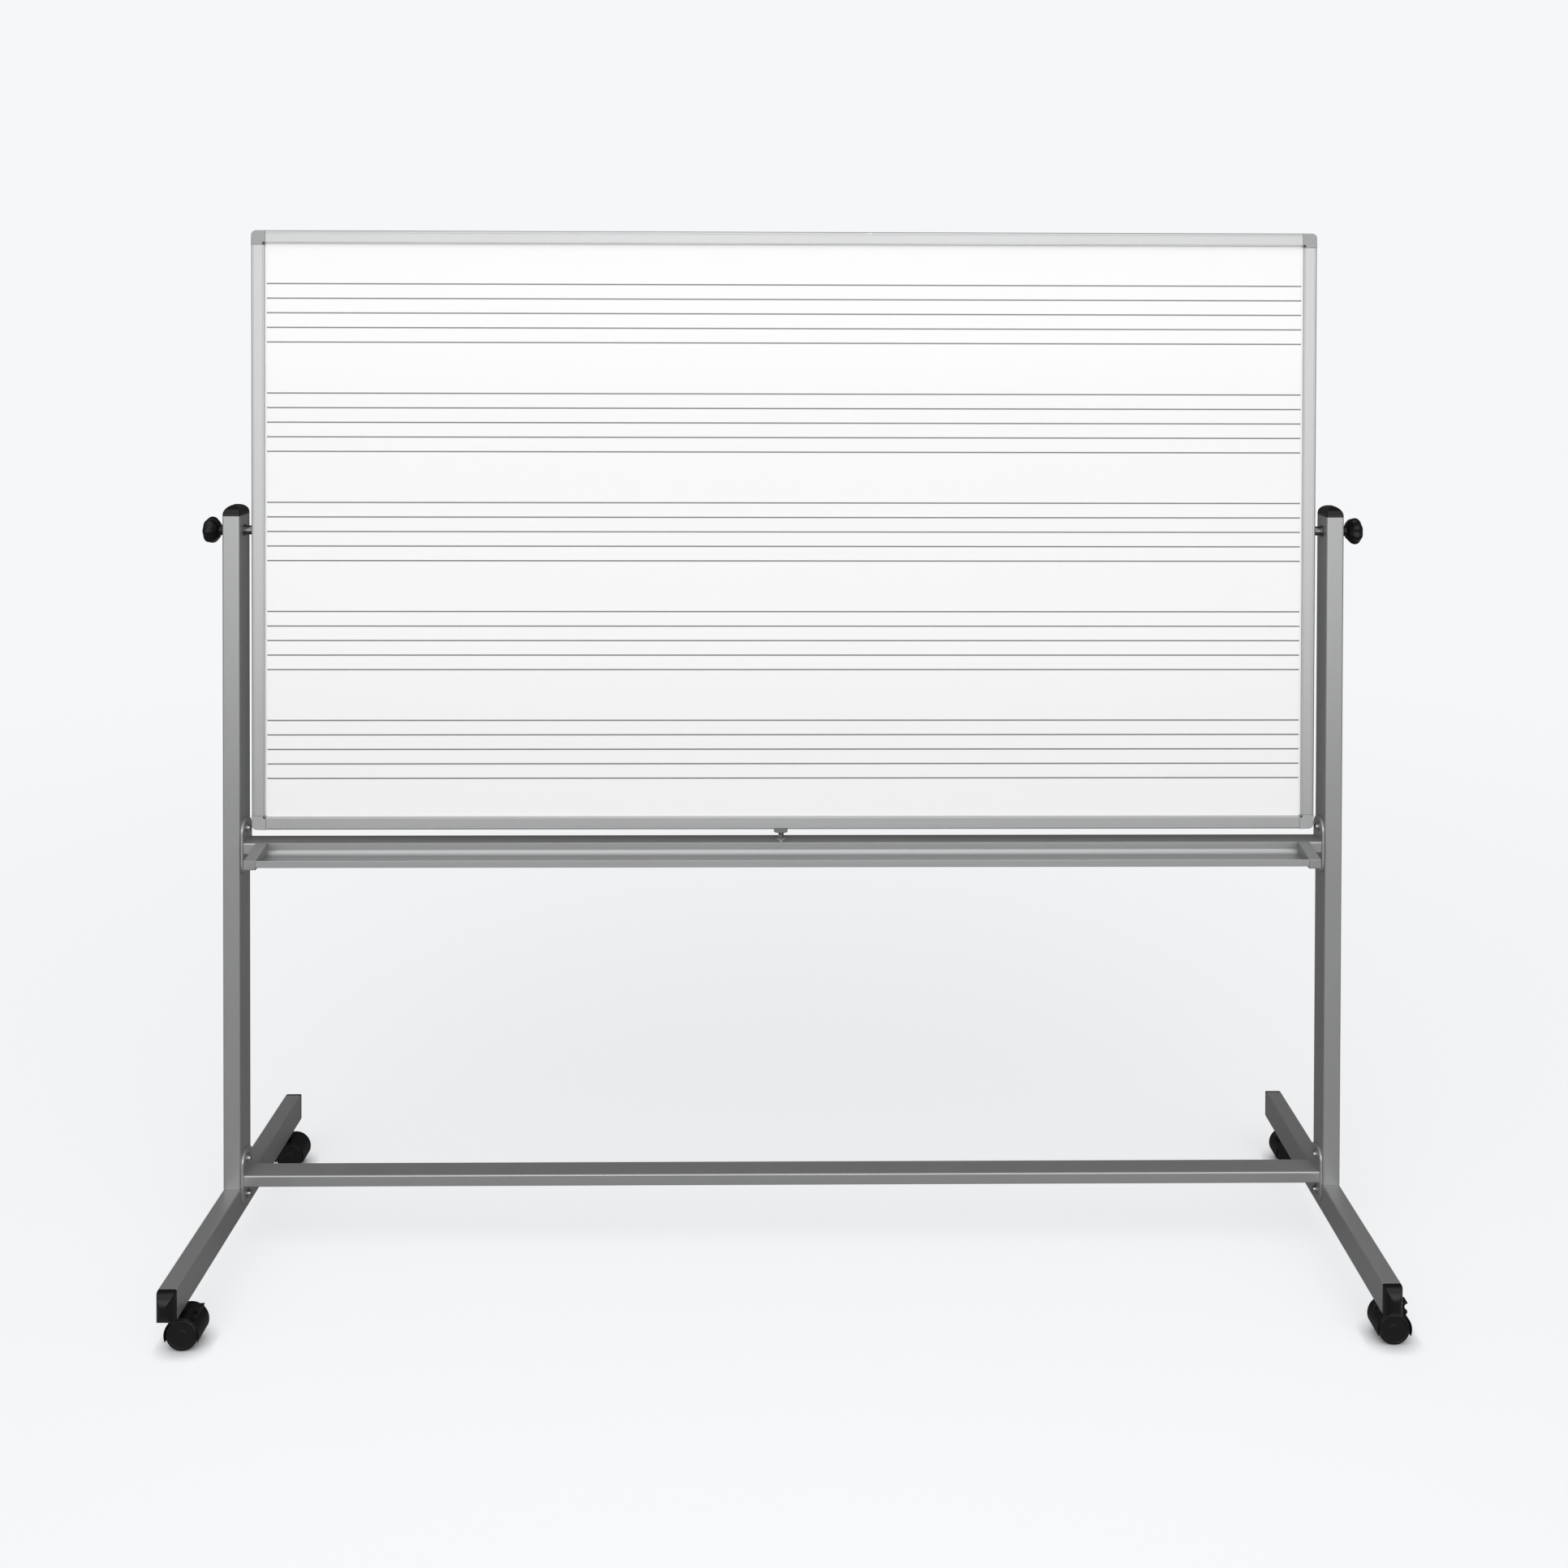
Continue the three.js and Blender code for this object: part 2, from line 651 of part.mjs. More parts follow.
/** Crossbar with its two end plates welded on, about its own centre. */
function crossbar() {
  const section = tubeSection(barDepth, barHeight, barCorner, barWall);
  const tube = extrude(section, 2 * (plateFace + overlap), { curve: tubeCurve }).applyMatrix4(profileAlongX);
  let body = solid(tube);
  for (const side of [-1, 1]) {
    const outline = roundedRectangle(plateWidth, plateHeight, plateWidth / 2 - roundEnd);
    const plate = solid(extrude(outline, plateThickness).applyMatrix4(profileAlongX));
    body = body.add(plate.translate(side * (plateFace + plateThickness / 2), 0, 0));
    for (const rise of [-1, 1]) {
      const hole = bar(frameBolt + holeFit, -plateThickness, plateThickness, 'x', boltFacets);
      body = body.subtract(hole.translate(side * plateFace, 0, rise * boltSpacing / 2));
    }
    const drain = bar(drainHole, -barHeight, 0, 'z', boltFacets);
    body = body.subtract(drain.translate(side * (plateFace - drainInset), 0, 0));
  }
  return body;
}

/** Button-head bolt with its washer, its shank along +X from the plate's face at 0. */
function buttonBolt() {
  const head = boltHeadDiameter / 2;
  const profile = [
    [0, frameBoltLength],
    [frameBolt / 2, frameBoltLength],
    [frameBolt / 2, -fit],
    [washerDiameter / 2, -fit],
    [washerDiameter / 2, -fit - washerThickness],
    [head, -fit - washerThickness],
    ...boltHeadCurve.map(([r, h]) => [r * head, -fit - washerThickness - h * boltHeadHeight]),
    [0, -fit - washerThickness - boltHeadHeight],
  ];
  return solid(turned(profile, boltFacets).applyMatrix4(turnedAlongX));
}

/** Marker tray section in (Y, Z): back against the crossbar, cove, floor and front lip. */
function traySection(slack = 0) {
  const back = -barDepth / 2 + slack;
  const front = back - trayDepth - 2 * slack;
  const bottom = -trayHeight / 2 - slack;
  const inner = back - trayWall - 2 * slack;
  const floor = bottom + trayWall + 2 * slack;
  const cove = trayCove - slack;
  const shape = new THREE.Shape();
  shape.moveTo(back, bottom);
  shape.lineTo(back, trayHeight / 2 + slack);
  shape.lineTo(inner, trayHeight / 2 + slack);
  shape.lineTo(inner, floor + cove);
  shape.absarc(inner - cove, floor + cove, cove, 0, -Math.PI / 2, true);
  shape.lineTo(front + trayWall + 2 * slack, floor);
  shape.lineTo(front + trayWall + 2 * slack, bottom + trayLip + 2 * slack);
  shape.lineTo(front, bottom + trayLip + 2 * slack);
  shape.lineTo(front, bottom);
  shape.closePath();
  return shape;
}

/** Right end cap of the tray: a moulded block that the tray's section slots into. */
function trayCap() {
  const back = -barDepth / 2 - fit;
  const front = -barDepth / 2 - trayDepth - fit - trayCapWall / 2;
  const top = trayHeight / 2 + trayCapWall / 2;
  const lip = -trayHeight / 2 + trayLip + fit + trayCapWall / 2;
  const bottom = -trayHeight / 2 - trayCapFoot;
  const round = trayCapRound;
  const shape = new THREE.Shape();
  shape.moveTo(back, bottom);
  shape.lineTo(back, top);
  shape.lineTo(back - 2 * round, top);
  shape.lineTo(front + 3 * round, lip);
  shape.lineTo(front + round, lip);
  shape.absarc(front + round, lip - round, round, Math.PI / 2, Math.PI);
  shape.absarc(front + round, bottom + round, round, Math.PI, 1.5 * Math.PI);
  shape.closePath();
  const body = solid(extrude(shape, trayCapLength).applyMatrix4(profileAlongX));
  const pocket = solid(extrude(traySection(fit), trayCapLength).applyMatrix4(profileAlongX));
  const cap = body.subtract(pocket.translate(-trayCapWall, 0, 0));
  return cap.translate(trayEnd - trayCapLength / 2, 0, 0);
}

/** Clip on the crossbar that the striker rides over, pushed into a hole by its stud. */
function catchClip() {
  const widest = clipLength / 2 - clipWidth / 2;
  const outline = polygon([
    [-clipNose / 2, -clipLength / 2],
    [clipNose / 2, -clipLength / 2],
    [clipWidth / 2, widest - clipFlank / 2],
    [clipWidth / 2, widest + clipFlank / 2],
    [stemWidth / 2, clipLength / 2],
    [-stemWidth / 2, clipLength / 2],
    [-clipWidth / 2, widest + clipFlank / 2],
    [-clipWidth / 2, widest - clipFlank / 2],
  ]);
  const body = solid(extrude(outline, clipHeight - fit, { centred: false }).translate(0, 0, fit));
  return body.add(bar(studDiameter, -studLength, fit + overlap, 'z', boltFacets));
}

/** Uprights, feet, crossbars, tray and everything that is fixed to them. */
function makeStand() {
  const stand = new THREE.Group();
  const clipHole = bar(studDiameter + holeFit, 0, barHeight, 'z', boltFacets).translate(catchX, 0, 0);
  const lower = place(stand, 'lower_crossbar', crossbar(), 'paint');
  lower.position.z = lowerBarZ;
  const upper = place(stand, 'upper_crossbar', crossbar().subtract(clipHole), 'paint');
  upper.position.z = upperBarZ;
  const tray = extrude(traySection(), trayLength, { curve: roundCurve });
  place(stand, 'marker_tray', tray.applyMatrix4(profileAlongX), 'aluminium').position.z = upperBarZ;
  const clip = place(stand, 'catch_clip', catchClip(), 'greyPlastic');
  clip.position.set(catchX, 0, upperBarZ + barHeight / 2);
  for (const [side, name] of [[1, 'right'], [-1, 'left']]) {
    const half = new THREE.Group();
    half.rotation.z = side > 0 ? 0 : Math.PI;
    stand.add(half);
    place(half, `upright_${name}`, upright(), 'paint');
    place(half, `foot_${name}`, foot(), 'paint');
    const bolts = [
      ['upper_bolt_top', upperBarZ + boltSpacing / 2],
      ['upper_bolt_bottom', upperBarZ - boltSpacing / 2],
      ['lower_bolt_top', lowerBarZ + boltSpacing / 2],
      ['lower_bolt_bottom', lowerBarZ - boltSpacing / 2],
    ];
    for (const [bolt, height] of bolts) {
      place(half, `${bolt}_${name}`, buttonBolt(), 'zinc').position.set(plateFace, 0, height);
    }
    const topCap = place(half, `upright_cap_${name}`, tubeCap(), 'blackPlastic');
    topCap.position.set(uprightX, 0, uprightTop + fit);
    for (const [end, where] of [[-side, 'front'], [side, 'rear']]) {
      const footCap = place(half, `foot_cap_${where}_${name}`, tubeCap(), 'blackPlastic');
      footCap.position.set(uprightX, end * (footLength / 2 + fit), footUnderside + tubeDepth / 2);
      footCap.rotation.x = -end * Math.PI / 2;
    }
  }
  const cap = trayCap();
  place(stand, 'tray_cap_right', cap, 'greyPlastic').position.z = upperBarZ;
  place(stand, 'tray_cap_left', cap.mirror([1, 0, 0]), 'greyPlastic').position.z = upperBarZ;
  return stand;
}

// ---- Casters -----------------------------------------------------------------------------

/** Stem fixed in the foot: threaded end, collar under it, and the pin that the hood swivels on. */
function casterStem() {
  const collarBottom = footUnderside - collarThickness;
  const profile = [
    [0, wheelDiameter - swivelPinReach],
    [swivelPin / 2, wheelDiameter - swivelPinReach],
    [swivelPin / 2, collarBottom],
    [collarDiameter / 2, collarBottom],
    [collarDiameter / 2, footUnderside - fit],
    [stemDiameter / 2, footUnderside - fit],
    [stemDiameter / 2, footUnderside + stemLength],
    [0, footUnderside + stemLength],
  ];
  return solid(turned(profile, casterFacets).applyMatrix4(profileAlongY));
}

/** Ring sector round the axle in (X, Z), from one radius to another and between two angles. */
function ringSector(inner, outer, from, to) {
  const shape = new THREE.Shape();
  shape.absarc(0, 0, outer, from, to);
  shape.absarc(0, 0, inner, to, from, true);
  shape.closePath();
  return shape;
}

const brakePinAt = (() => {
  const angle = THREE.MathUtils.degToRad(brakeAngle);
  const reach = wheelRadius + brakeReach;
  return [reach * Math.cos(angle), reach * Math.sin(angle)];
})();

/** Hood about the axle: a shell over both wheels, the web between them, the neck and the axle. */
function casterHood(braked) {
  const dip = Math.asin(hoodSkirt / hoodOuter);
  const band = ringSector(hoodInner, hoodOuter, -dip, Math.PI + dip);
  const shell = solid(extrude(band, casterWidth, { curve: hoodCurve }).applyMatrix4(profileAlongY));
  const disc = new THREE.Shape();
  disc.absarc(0, 0, hoodInner + hoodWall / 2, -dip, Math.PI + dip);
  disc.closePath();
  const web = solid(extrude(disc, 2 * webHalf, { curve: hoodCurve }).applyMatrix4(profileAlongY));
  const neckTop = footUnderside - collarThickness - fit - wheelRadius;
  const neckProfile = [
    [0, 0],
    [webHalf, 0],
    [webHalf, wheelRadius - neckRoot],
    [neckDiameter / 2 + neckFlare, wheelRadius - neckRoot / 2],
    [neckDiameter / 2, neckTop - neckFlareHeight],
    [neckDiameter / 2, neckTop],
    [0, neckTop],
  ];
  const neck = solid(turned(neckProfile, casterFacets).applyMatrix4(profileAlongY)).translate(-casterTrail, 0, 0);
  const wheels = bar(wheelDiameter + hoodGap, -casterWidth, casterWidth, 'y', wheelFacets);
  const middle = block([-hoodOuter, -webHalf, -hoodOuter], [hoodOuter, webHalf, hoodOuter]);
  const bearing = wheelDiameter - swivelPinReach - wheelRadius - fit;
  const bore = bar(swivelPin + holeFit, bearing, neckTop + overlap, 'z', casterFacets);
  const axleHalf = casterWidth / 2 - wheelFace - axleEndGap;
  const axle = bar(axleDiameter, -axleHalf, axleHalf, 'y', casterFacets);
  let body = neck.subtract(wheels.subtract(middle)).add(shell).add(web).add(axle);
  if (braked) {
    body = addBrakeSeat(body);
  }
  return body.subtract(bore.translate(-casterTrail, 0, 0));
}

/** Opens a pocket in the hood for the brake's cam and gives it a lug at each side for the pin. */
function addBrakeSeat(hood) {
  const [x, z] = brakePinAt;
  const pocketHalf = brakeWidth / 2 + fit;
  const pocket = bar(2 * (brakeNose + brakeSlack), -pocketHalf, pocketHalf, 'y', casterFacets).translate(x, 0, z);
  const lugEnd = pocketHalf + brakeLugWidth;
  const hole = bar(brakePin + holeFit, -lugEnd - overlap, lugEnd + overlap, 'y', brakeFacets);
  let body = hood.subtract(pocket);
  for (const side of [-1, 1]) {
    const lug = bar(brakeLug, 0, brakeLugWidth, 'y', casterFacets);
    const y = side > 0 ? pocketHalf : -lugEnd;
    body = body.add(lug.translate(x, y, z));
  }
  return body.subtract(hole.translate(x, 0, z));
}

/** Brake lever about its pin: cam over both wheels, and a tab that is pressed with the toe. */
function brakeLever() {
  const facing = THREE.MathUtils.degToRad(brakeAngle + 180 + brakeNoseTurn);
  const nose = [brakeNose * Math.cos(facing), brakeNose * Math.sin(facing)];
  const side = [brakeHub / 2 * Math.sin(facing), -brakeHub / 2 * Math.cos(facing)];
  const cam = polygon([
    [side[0], side[1]],
    [nose[0] + brakeNoseShare * side[0], nose[1] + brakeNoseShare * side[1]],
    [nose[0] - brakeNoseShare * side[0], nose[1] - brakeNoseShare * side[1]],
    [-side[0], -side[1]],
  ]);
  const hub = bar(brakeHub, -brakeWidth / 2, brakeWidth / 2, 'y', casterFacets);
  const tabTop = footUnderside - wheelRadius - brakePinAt[1] - collarThickness - fit;
  const tab = polygon([
    [-tabRoot / 2, overlap],
    [tabRoot / 2, overlap],
    [tabRoot / 2, tabTop - tabThickness - tabFall],
    [tabReach, tabTop - tabThickness],
    [tabReach, tabTop],
    [-tabRoot / 2, tabTop - tabFall],
  ]);
  const tabSolid = solid(extrude(tab, tabWidth).applyMatrix4(profileAlongY));
  const camSolid = solid(extrude(cam, brakeWidth).applyMatrix4(profileAlongY));
  const end = brakeWidth / 2 + fit + brakeLugWidth;
  const pin = bar(brakePin, -end, end, 'y', brakeFacets);
  return hub.add(camSolid).add(tabSolid).add(pin);
}

/** Wheel on the +Y side: a cup with a closed outer face, a rim, and a hub on the axle. */
function wheel() {
  const outer = wheelInnerY + wheelWidth;
  const inside = outer - wheelFace;
  const bore = (axleDiameter + holeFit) / 2;
  const profile = [
    [0, outer],
    [wheelRadius - wheelRound, outer],
    [wheelRadius, outer - wheelRound],
    [wheelRadius, wheelInnerY + wheelInnerRound],
    [wheelRadius - wheelInnerRound, wheelInnerY],
    [wheelRadius - wheelRim, wheelInnerY],
    [wheelRadius - wheelRim, inside],
    [wheelHub / 2, inside],
    [wheelHub / 2, wheelInnerY],
    [bore, wheelInnerY],
    [bore, inside + overlap],
    [0, inside + overlap],
  ];
  return solid(turned(profile, wheelFacets));
}

/** One caster at a place under a foot. */
function makeCaster(name, x, y, braked) {
  const caster = new THREE.Group();
  caster.position.set(x, y, 0);
  place(caster, `${name}_stem`, casterStem(), 'zinc');
  const carriage = new THREE.Group();
  carriage.position.set(casterTrail, 0, wheelRadius);
  caster.add(carriage);
  place(carriage, `${name}_hood`, casterHood(braked), 'blackPlastic');
  place(carriage, `${name}_wheel_rear`, wheel(), 'tread');
  place(carriage, `${name}_wheel_front`, wheel().mirror([0, 1, 0]), 'tread');
  if (braked) {
    const lever = place(carriage, `${name}_brake`, brakeLever(), 'blackPlastic');
    lever.position.set(brakePinAt[0], 0, brakePinAt[1]);
  }
  return caster;
}

// ---- Assembly ----------------------------------------------------------------------------

const whiteboard = new THREE.Group();
const standGroup = makeStand();
const boardGroup = makeBoard();
whiteboard.add(standGroup, boardGroup);
for (const [side, name] of [[1, 'right'], [-1, 'left']]) {
  const half = new THREE.Group();
  half.rotation.z = side > 0 ? 0 : Math.PI;
  half.position.z = pivotHeight;
  place(half, `knob_${name}`, handKnob(), 'blackPlastic');
  whiteboard.add(half);
  whiteboard.add(makeCaster(`caster_front_${name}`, side * uprightX, -swivelY, true));
  whiteboard.add(makeCaster(`caster_rear_${name}`, side * uprightX, swivelY, false));
}

export default whiteboard;
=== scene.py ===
import math

import bpy
import numpy as np
from mathutils import Matrix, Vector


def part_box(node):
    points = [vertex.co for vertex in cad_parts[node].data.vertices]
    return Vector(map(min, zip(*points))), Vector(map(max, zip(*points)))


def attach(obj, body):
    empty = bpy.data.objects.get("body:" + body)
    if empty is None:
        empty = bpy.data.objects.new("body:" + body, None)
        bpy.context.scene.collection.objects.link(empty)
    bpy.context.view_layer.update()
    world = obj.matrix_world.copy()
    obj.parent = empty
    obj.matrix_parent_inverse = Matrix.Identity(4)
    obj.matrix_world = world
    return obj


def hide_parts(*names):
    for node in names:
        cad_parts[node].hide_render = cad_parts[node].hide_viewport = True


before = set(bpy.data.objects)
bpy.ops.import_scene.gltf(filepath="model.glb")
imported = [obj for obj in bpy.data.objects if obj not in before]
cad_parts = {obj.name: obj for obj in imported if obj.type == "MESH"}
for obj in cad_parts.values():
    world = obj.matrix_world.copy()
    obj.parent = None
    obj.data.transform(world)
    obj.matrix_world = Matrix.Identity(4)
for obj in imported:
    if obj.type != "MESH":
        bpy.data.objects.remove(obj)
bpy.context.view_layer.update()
mm = 0.001


# Camera
# It stands in front of the board, just right of the middle, and looks almost level. Its lens is
# shifted down, so the uprights stay parallel while the view takes in the casters.
def put_in_scene(name, data):
    """Makes an object of the data and adds it to the scene."""
    made = bpy.data.objects.new(name, data)
    bpy.context.scene.collection.objects.link(made)
    return made


camera_place = (16.98 * mm, -2559.73 * mm, 1625.54 * mm)
to_the_right, downwards, clockwise = 0.011123, 0.010666, -0.002593  # radians
ahead = np.array([
    math.sin(to_the_right) * math.cos(downwards),
    math.cos(to_the_right) * math.cos(downwards),
    -math.sin(downwards),
])
horizontal = np.array([math.cos(to_the_right), -math.sin(to_the_right), 0.0])
upwards = np.cross(horizontal, ahead)
sideways = horizontal * math.cos(clockwise) - upwards * math.sin(clockwise)
above = horizontal * math.sin(clockwise) + upwards * math.cos(clockwise)
lens = bpy.data.cameras.new("camera")
lens.sensor_width = 36
lens.lens = 33.569
lens.shift_x = -0.01784
lens.shift_y = -0.2858
camera = put_in_scene("camera", lens)
camera.matrix_world = Matrix.Translation(camera_place) @ Matrix(
    np.stack([sideways, above, -ahead], 1).tolist()
).to_4x4()
bpy.context.scene.camera = camera
bpy.context.scene.view_settings.view_transform = "Standard"


# Studio
# A white room lights the object softly, much more from the front than from behind, and a bright
# panel stands behind the camera. A wide lamp nearly overhead lays faint shadows on a pale floor,
# whose glow also carries a painted contact shadow under whatever stands on it.
def add_node(tree, kind, feeds=None, **settings):
    """Adds a node; each input is fed by a value or by another node's output."""
    made = tree.nodes.new("ShaderNode" + kind)
    for name, value in settings.items():
        setattr(made, name, value)
    for socket, feed in (feeds or {}).items():
        if isinstance(feed, bpy.types.NodeSocket):
            tree.links.new(feed, made.inputs[socket])
        else:
            made.inputs[socket].default_value = feed
    return made


def scaled(colour, share):
    """A colour made darker or lighter by a share."""
    return tuple(share * part for part in colour[:3]) + (1,)


backdrop_white = (0.921, 0.929, 0.947, 1)
room_front, room_back = 1.5, 0.14

room = bpy.data.worlds.new("studio_room")
room.use_nodes = True
tree = room.node_tree
tree.nodes.clear()
direction = add_node(tree, "TexCoord").outputs["Generated"]
forwards = add_node(tree, "SeparateXYZ", {0: direction}).outputs["Y"]
strength = add_node(tree, "MapRange", {
    "Value": forwards, "From Min": 0.0, "From Max": -1.0,
    "To Min": room_back, "To Max": room_front,
}).outputs[0]
lighting = add_node(tree, "Background", {"Color": (1, 1, 1, 1), "Strength": strength})
seen = add_node(tree, "Background", {"Color": backdrop_white, "Strength": 1.0})
choice = add_node(tree, "MixShader", {
    0: add_node(tree, "LightPath").outputs["Is Camera Ray"],
    1: lighting.outputs[0],
    2: seen.outputs[0],
})
add_node(tree, "OutputWorld", {"Surface": choice.outputs[0]})
bpy.context.scene.world = room

lamp_data = bpy.data.lights.new("wide_lamp", "SUN")
lamp_data.energy = 0.5
lamp_data.angle = math.radians(50)
lamp = put_in_scene("wide_lamp", lamp_data)
lamp.rotation_euler = (math.radians(24), 0, math.radians(-4))

panel_width, panel_height, panel_distance = 6.4, 2.3, 4.2
panel_radiance = 1.3
panel_data = bpy.data.lights.new("front_panel", "AREA")
panel_data.shape = "RECTANGLE"
panel_data.size, panel_data.size_y = panel_width, panel_height
panel_data.energy = math.pi * panel_width * panel_height * panel_radiance
panel = put_in_scene("front_panel", panel_data)
panel.location = (0, -panel_distance, panel_height / 2)
panel.rotation_euler = (math.radians(90), 0, 0)

floor_reach = 40.0
fade_start = 1.2
fade_end = 5.0
floor_glow = 0.70
floor_seen = 0.45
floor_bounce = 0.37
# How far out and how strongly the painted contact shadow darkens the floor's glow.
painted_shadow_reach = 28 * mm
painted_shadow_depth = 1.6
floor_mesh = bpy.data.meshes.new("studio_floor")
floor_mesh.from_pydata(
    [(-floor_reach, -floor_reach, 0), (floor_reach, -floor_reach, 0),
     (floor_reach, floor_reach, 0), (-floor_reach, floor_reach, 0)],
    [], [(0, 1, 2, 3)],
)
floor_material = bpy.data.materials.new("pale_floor")
floor_material.use_nodes = True
tree = floor_material.node_tree
tree.nodes.clear()
# Painted contact shadow: ambient occlusion darkens the floor's glow close under the wheels and
# other parts near it.
painted_contact_shadow = add_node(tree, "AmbientOcclusion", {"Distance": painted_shadow_reach}, samples=8)
painted_shadow_share = add_node(tree, "Math", {
    0: painted_contact_shadow.outputs["AO"], 1: painted_shadow_depth,
}, operation="POWER").outputs[0]
glow_under_painted_shadow = add_node(tree, "Math", {0: painted_shadow_share, 1: floor_glow}, operation="MULTIPLY").outputs[0]
glow = add_node(tree, "Emission", {"Color": backdrop_white, "Strength": glow_under_painted_shadow})
shaded = add_node(tree, "BsdfDiffuse", {"Color": scaled(backdrop_white, floor_seen)})
near = add_node(tree, "AddShader", {0: glow.outputs[0], 1: shaded.outputs[0]})
far = add_node(tree, "Emission", {"Color": backdrop_white, "Strength": 1.0})
distance = add_node(tree, "VectorMath", {
    0: add_node(tree, "NewGeometry").outputs["Position"],
}, operation="LENGTH")
fade = add_node(tree, "MapRange", {
    "Value": distance.outputs["Value"], "From Min": fade_start, "From Max": fade_end,
}, interpolation_type="SMOOTHSTEP")
bright = add_node(tree, "MixShader", {
    0: fade.outputs["Result"], 1: near.outputs[0], 2: far.outputs[0],
})
dim = add_node(tree, "BsdfDiffuse", {"Color": scaled((1, 1, 1, 1), floor_bounce)})
choice = add_node(tree, "MixShader", {
    0: add_node(tree, "LightPath").outputs["Is Camera Ray"],
    1: dim.outputs[0],
    2: bright.outputs[0],
})
add_node(tree, "OutputMaterial", {"Surface": choice.outputs[0]})
floor_mesh.materials.append(floor_material)
put_in_scene("studio_floor", floor_mesh)


# Feet
# Two lengths of rectangular steel tube, lying front to back on the casters. They are welded to
# the uprights and powder coated silver grey, with a fine orange peel in the coat.
tube_corner = 3 * mm
tube_trim = 0.4 * mm
hold = 0.15 * mm
hold_share = 0.3
patch_fade = 0.16


def rounded(corners, radii, steps=6):
    """Outline through corners, each rounded by an arc of its own radius. The arc's points turn
    evenly from one edge's normal to the next; a holding point just off each of its ends keeps
    the flats flat. Also returns how much each point is a worn outer edge, from 0 to 1."""
    corners = np.asarray(corners, float)
    radii = np.broadcast_to(np.asarray(radii, float), len(corners))[:, None]
    back = np.roll(corners, 1, 0) - corners
    onward = np.roll(corners, -1, 0) - corners
    back_length = np.linalg.norm(back, axis=1, keepdims=True)
    onward_length = np.linalg.norm(onward, axis=1, keepdims=True)
    back, onward = back / back_length, onward / onward_length
    half = 0.5 * np.arccos(np.clip((back * onward).sum(1, keepdims=True), -1, 1))
    reach = radii / np.tan(half)
    middle = back + onward
    centre = corners + middle / np.linalg.norm(middle, axis=1, keepdims=True) * radii / np.sin(half)
    start, end = corners + back * reach, corners + onward * reach
    turn = (math.pi - 2 * half)[:, None]
    share = np.linspace(0, 1, steps + 1)[None, :, None]
    arc = centre[:, None] + (
        np.sin((1 - share) * turn) * (start - centre)[:, None]
        + np.sin(share * turn) * (end - centre)[:, None]
    ) / np.sin(turn)
    spare_back = back_length - reach - np.roll(reach, 1, 0)
    spare_onward = onward_length - reach - np.roll(reach, -1, 0)
    hold_back = start + back * np.minimum(hold, hold_share * spare_back)
    hold_onward = end + onward * np.minimum(hold, hold_share * spare_onward)
    points = np.concatenate([hold_back[:, None], arc, hold_onward[:, None]], 1)
    outer = np.cross(onward, back) > 0
    worn = np.zeros(points.shape[:2])
    worn[:, 1:-1] = outer[:, None]
    return points.reshape(-1, 2), worn.reshape(-1)


def skin(rings, worn, round_trip=False):
    """Skin over rings of points: four-sided faces join each ring to the next, and each ring runs
    back to its own start. A flat face closes each end, unless the last ring joins the first."""
    count, sides = rings.shape[:2]
    i = np.arange(count if round_trip else count - 1)[:, None]
    j = np.arange(sides)[None, :]
    after_i, after_j = (i + 1) % count, (j + 1) % sides
    corners = [i * sides + j, i * sides + after_j, after_i * sides + after_j, after_i * sides + j]
    faces = np.stack(np.broadcast_arrays(*corners), -1).reshape(-1, 4).tolist()
    if not round_trip:
        faces += [list(range(sides))[::-1], list(range((count - 1) * sides, count * sides))]
    return rings.reshape(-1, 3), faces, np.broadcast_to(worn, (count, sides)).reshape(-1)


def lay(points, axis, origin=(0, 0, 0)):
    """Turns points drawn about their third axis so that it lies along X, Y or Z, by passing the
    three coordinates round in turn, and moves them to their origin."""
    return np.roll(points, {"x": 1, "y": -1, "z": 0}[axis], -1) + np.asarray(origin, float)


def slab(outline, low, high, axis, rim=0.3 * mm, steps=4, origin=(0, 0, 0)):
    """Solid over an outline between two heights along an axis, with rounded rims. At an angle a
    round a rim the outline has moved in by rim (1 - sin a) and its height by rim (1 - cos a).
    An outline across Y is drawn in X and Z."""
    points, worn = outline
    rim = np.broadcast_to(np.asarray(rim, float), len(points))
    if axis == "y":
        points, worn, rim = points[::-1, ::-1], worn[::-1], rim[::-1]
    step = np.roll(points, -1, 0) - points
    normal = np.stack([-step[:, 1], step[:, 0]], 1)
    normal /= np.maximum(np.linalg.norm(normal, axis=1, keepdims=True), 1e-12)
    inward = normal + np.roll(normal, 1, 0)
    inward /= np.linalg.norm(inward, axis=1, keepdims=True)
    inward /= np.maximum((inward * normal).sum(1, keepdims=True), 0.5)
    angle = np.linspace(0, math.pi / 2, steps + 1)
    moved = np.concatenate([[[1, hold]], np.stack([1 - np.sin(angle), 0 * angle], 1), [[0, 0]]])
    risen = np.concatenate([[[0, 0]], np.stack([1 - np.cos(angle), 0 * angle], 1), [[1, hold]]])
    offset = moved[:, :1] * rim + moved[:, 1:]
    height = risen[:, :1] * rim + risen[:, 1:]
    on_rim = np.concatenate([[0], np.ones(steps + 1), [0]])
    rings = points[None] + inward[None] * offset[..., None]
    lower = np.concatenate([rings, (low + height)[..., None]], -1)
    upper = np.concatenate([rings, (high - height)[..., None]], -1)[::-1]
    rubbed = np.maximum(on_rim[:, None], worn[None])
    rubbed[0] = 0
    everything = np.concatenate([lower, upper])
    return skin(lay(everything, axis, origin), np.concatenate([rubbed, rubbed[::-1]]))


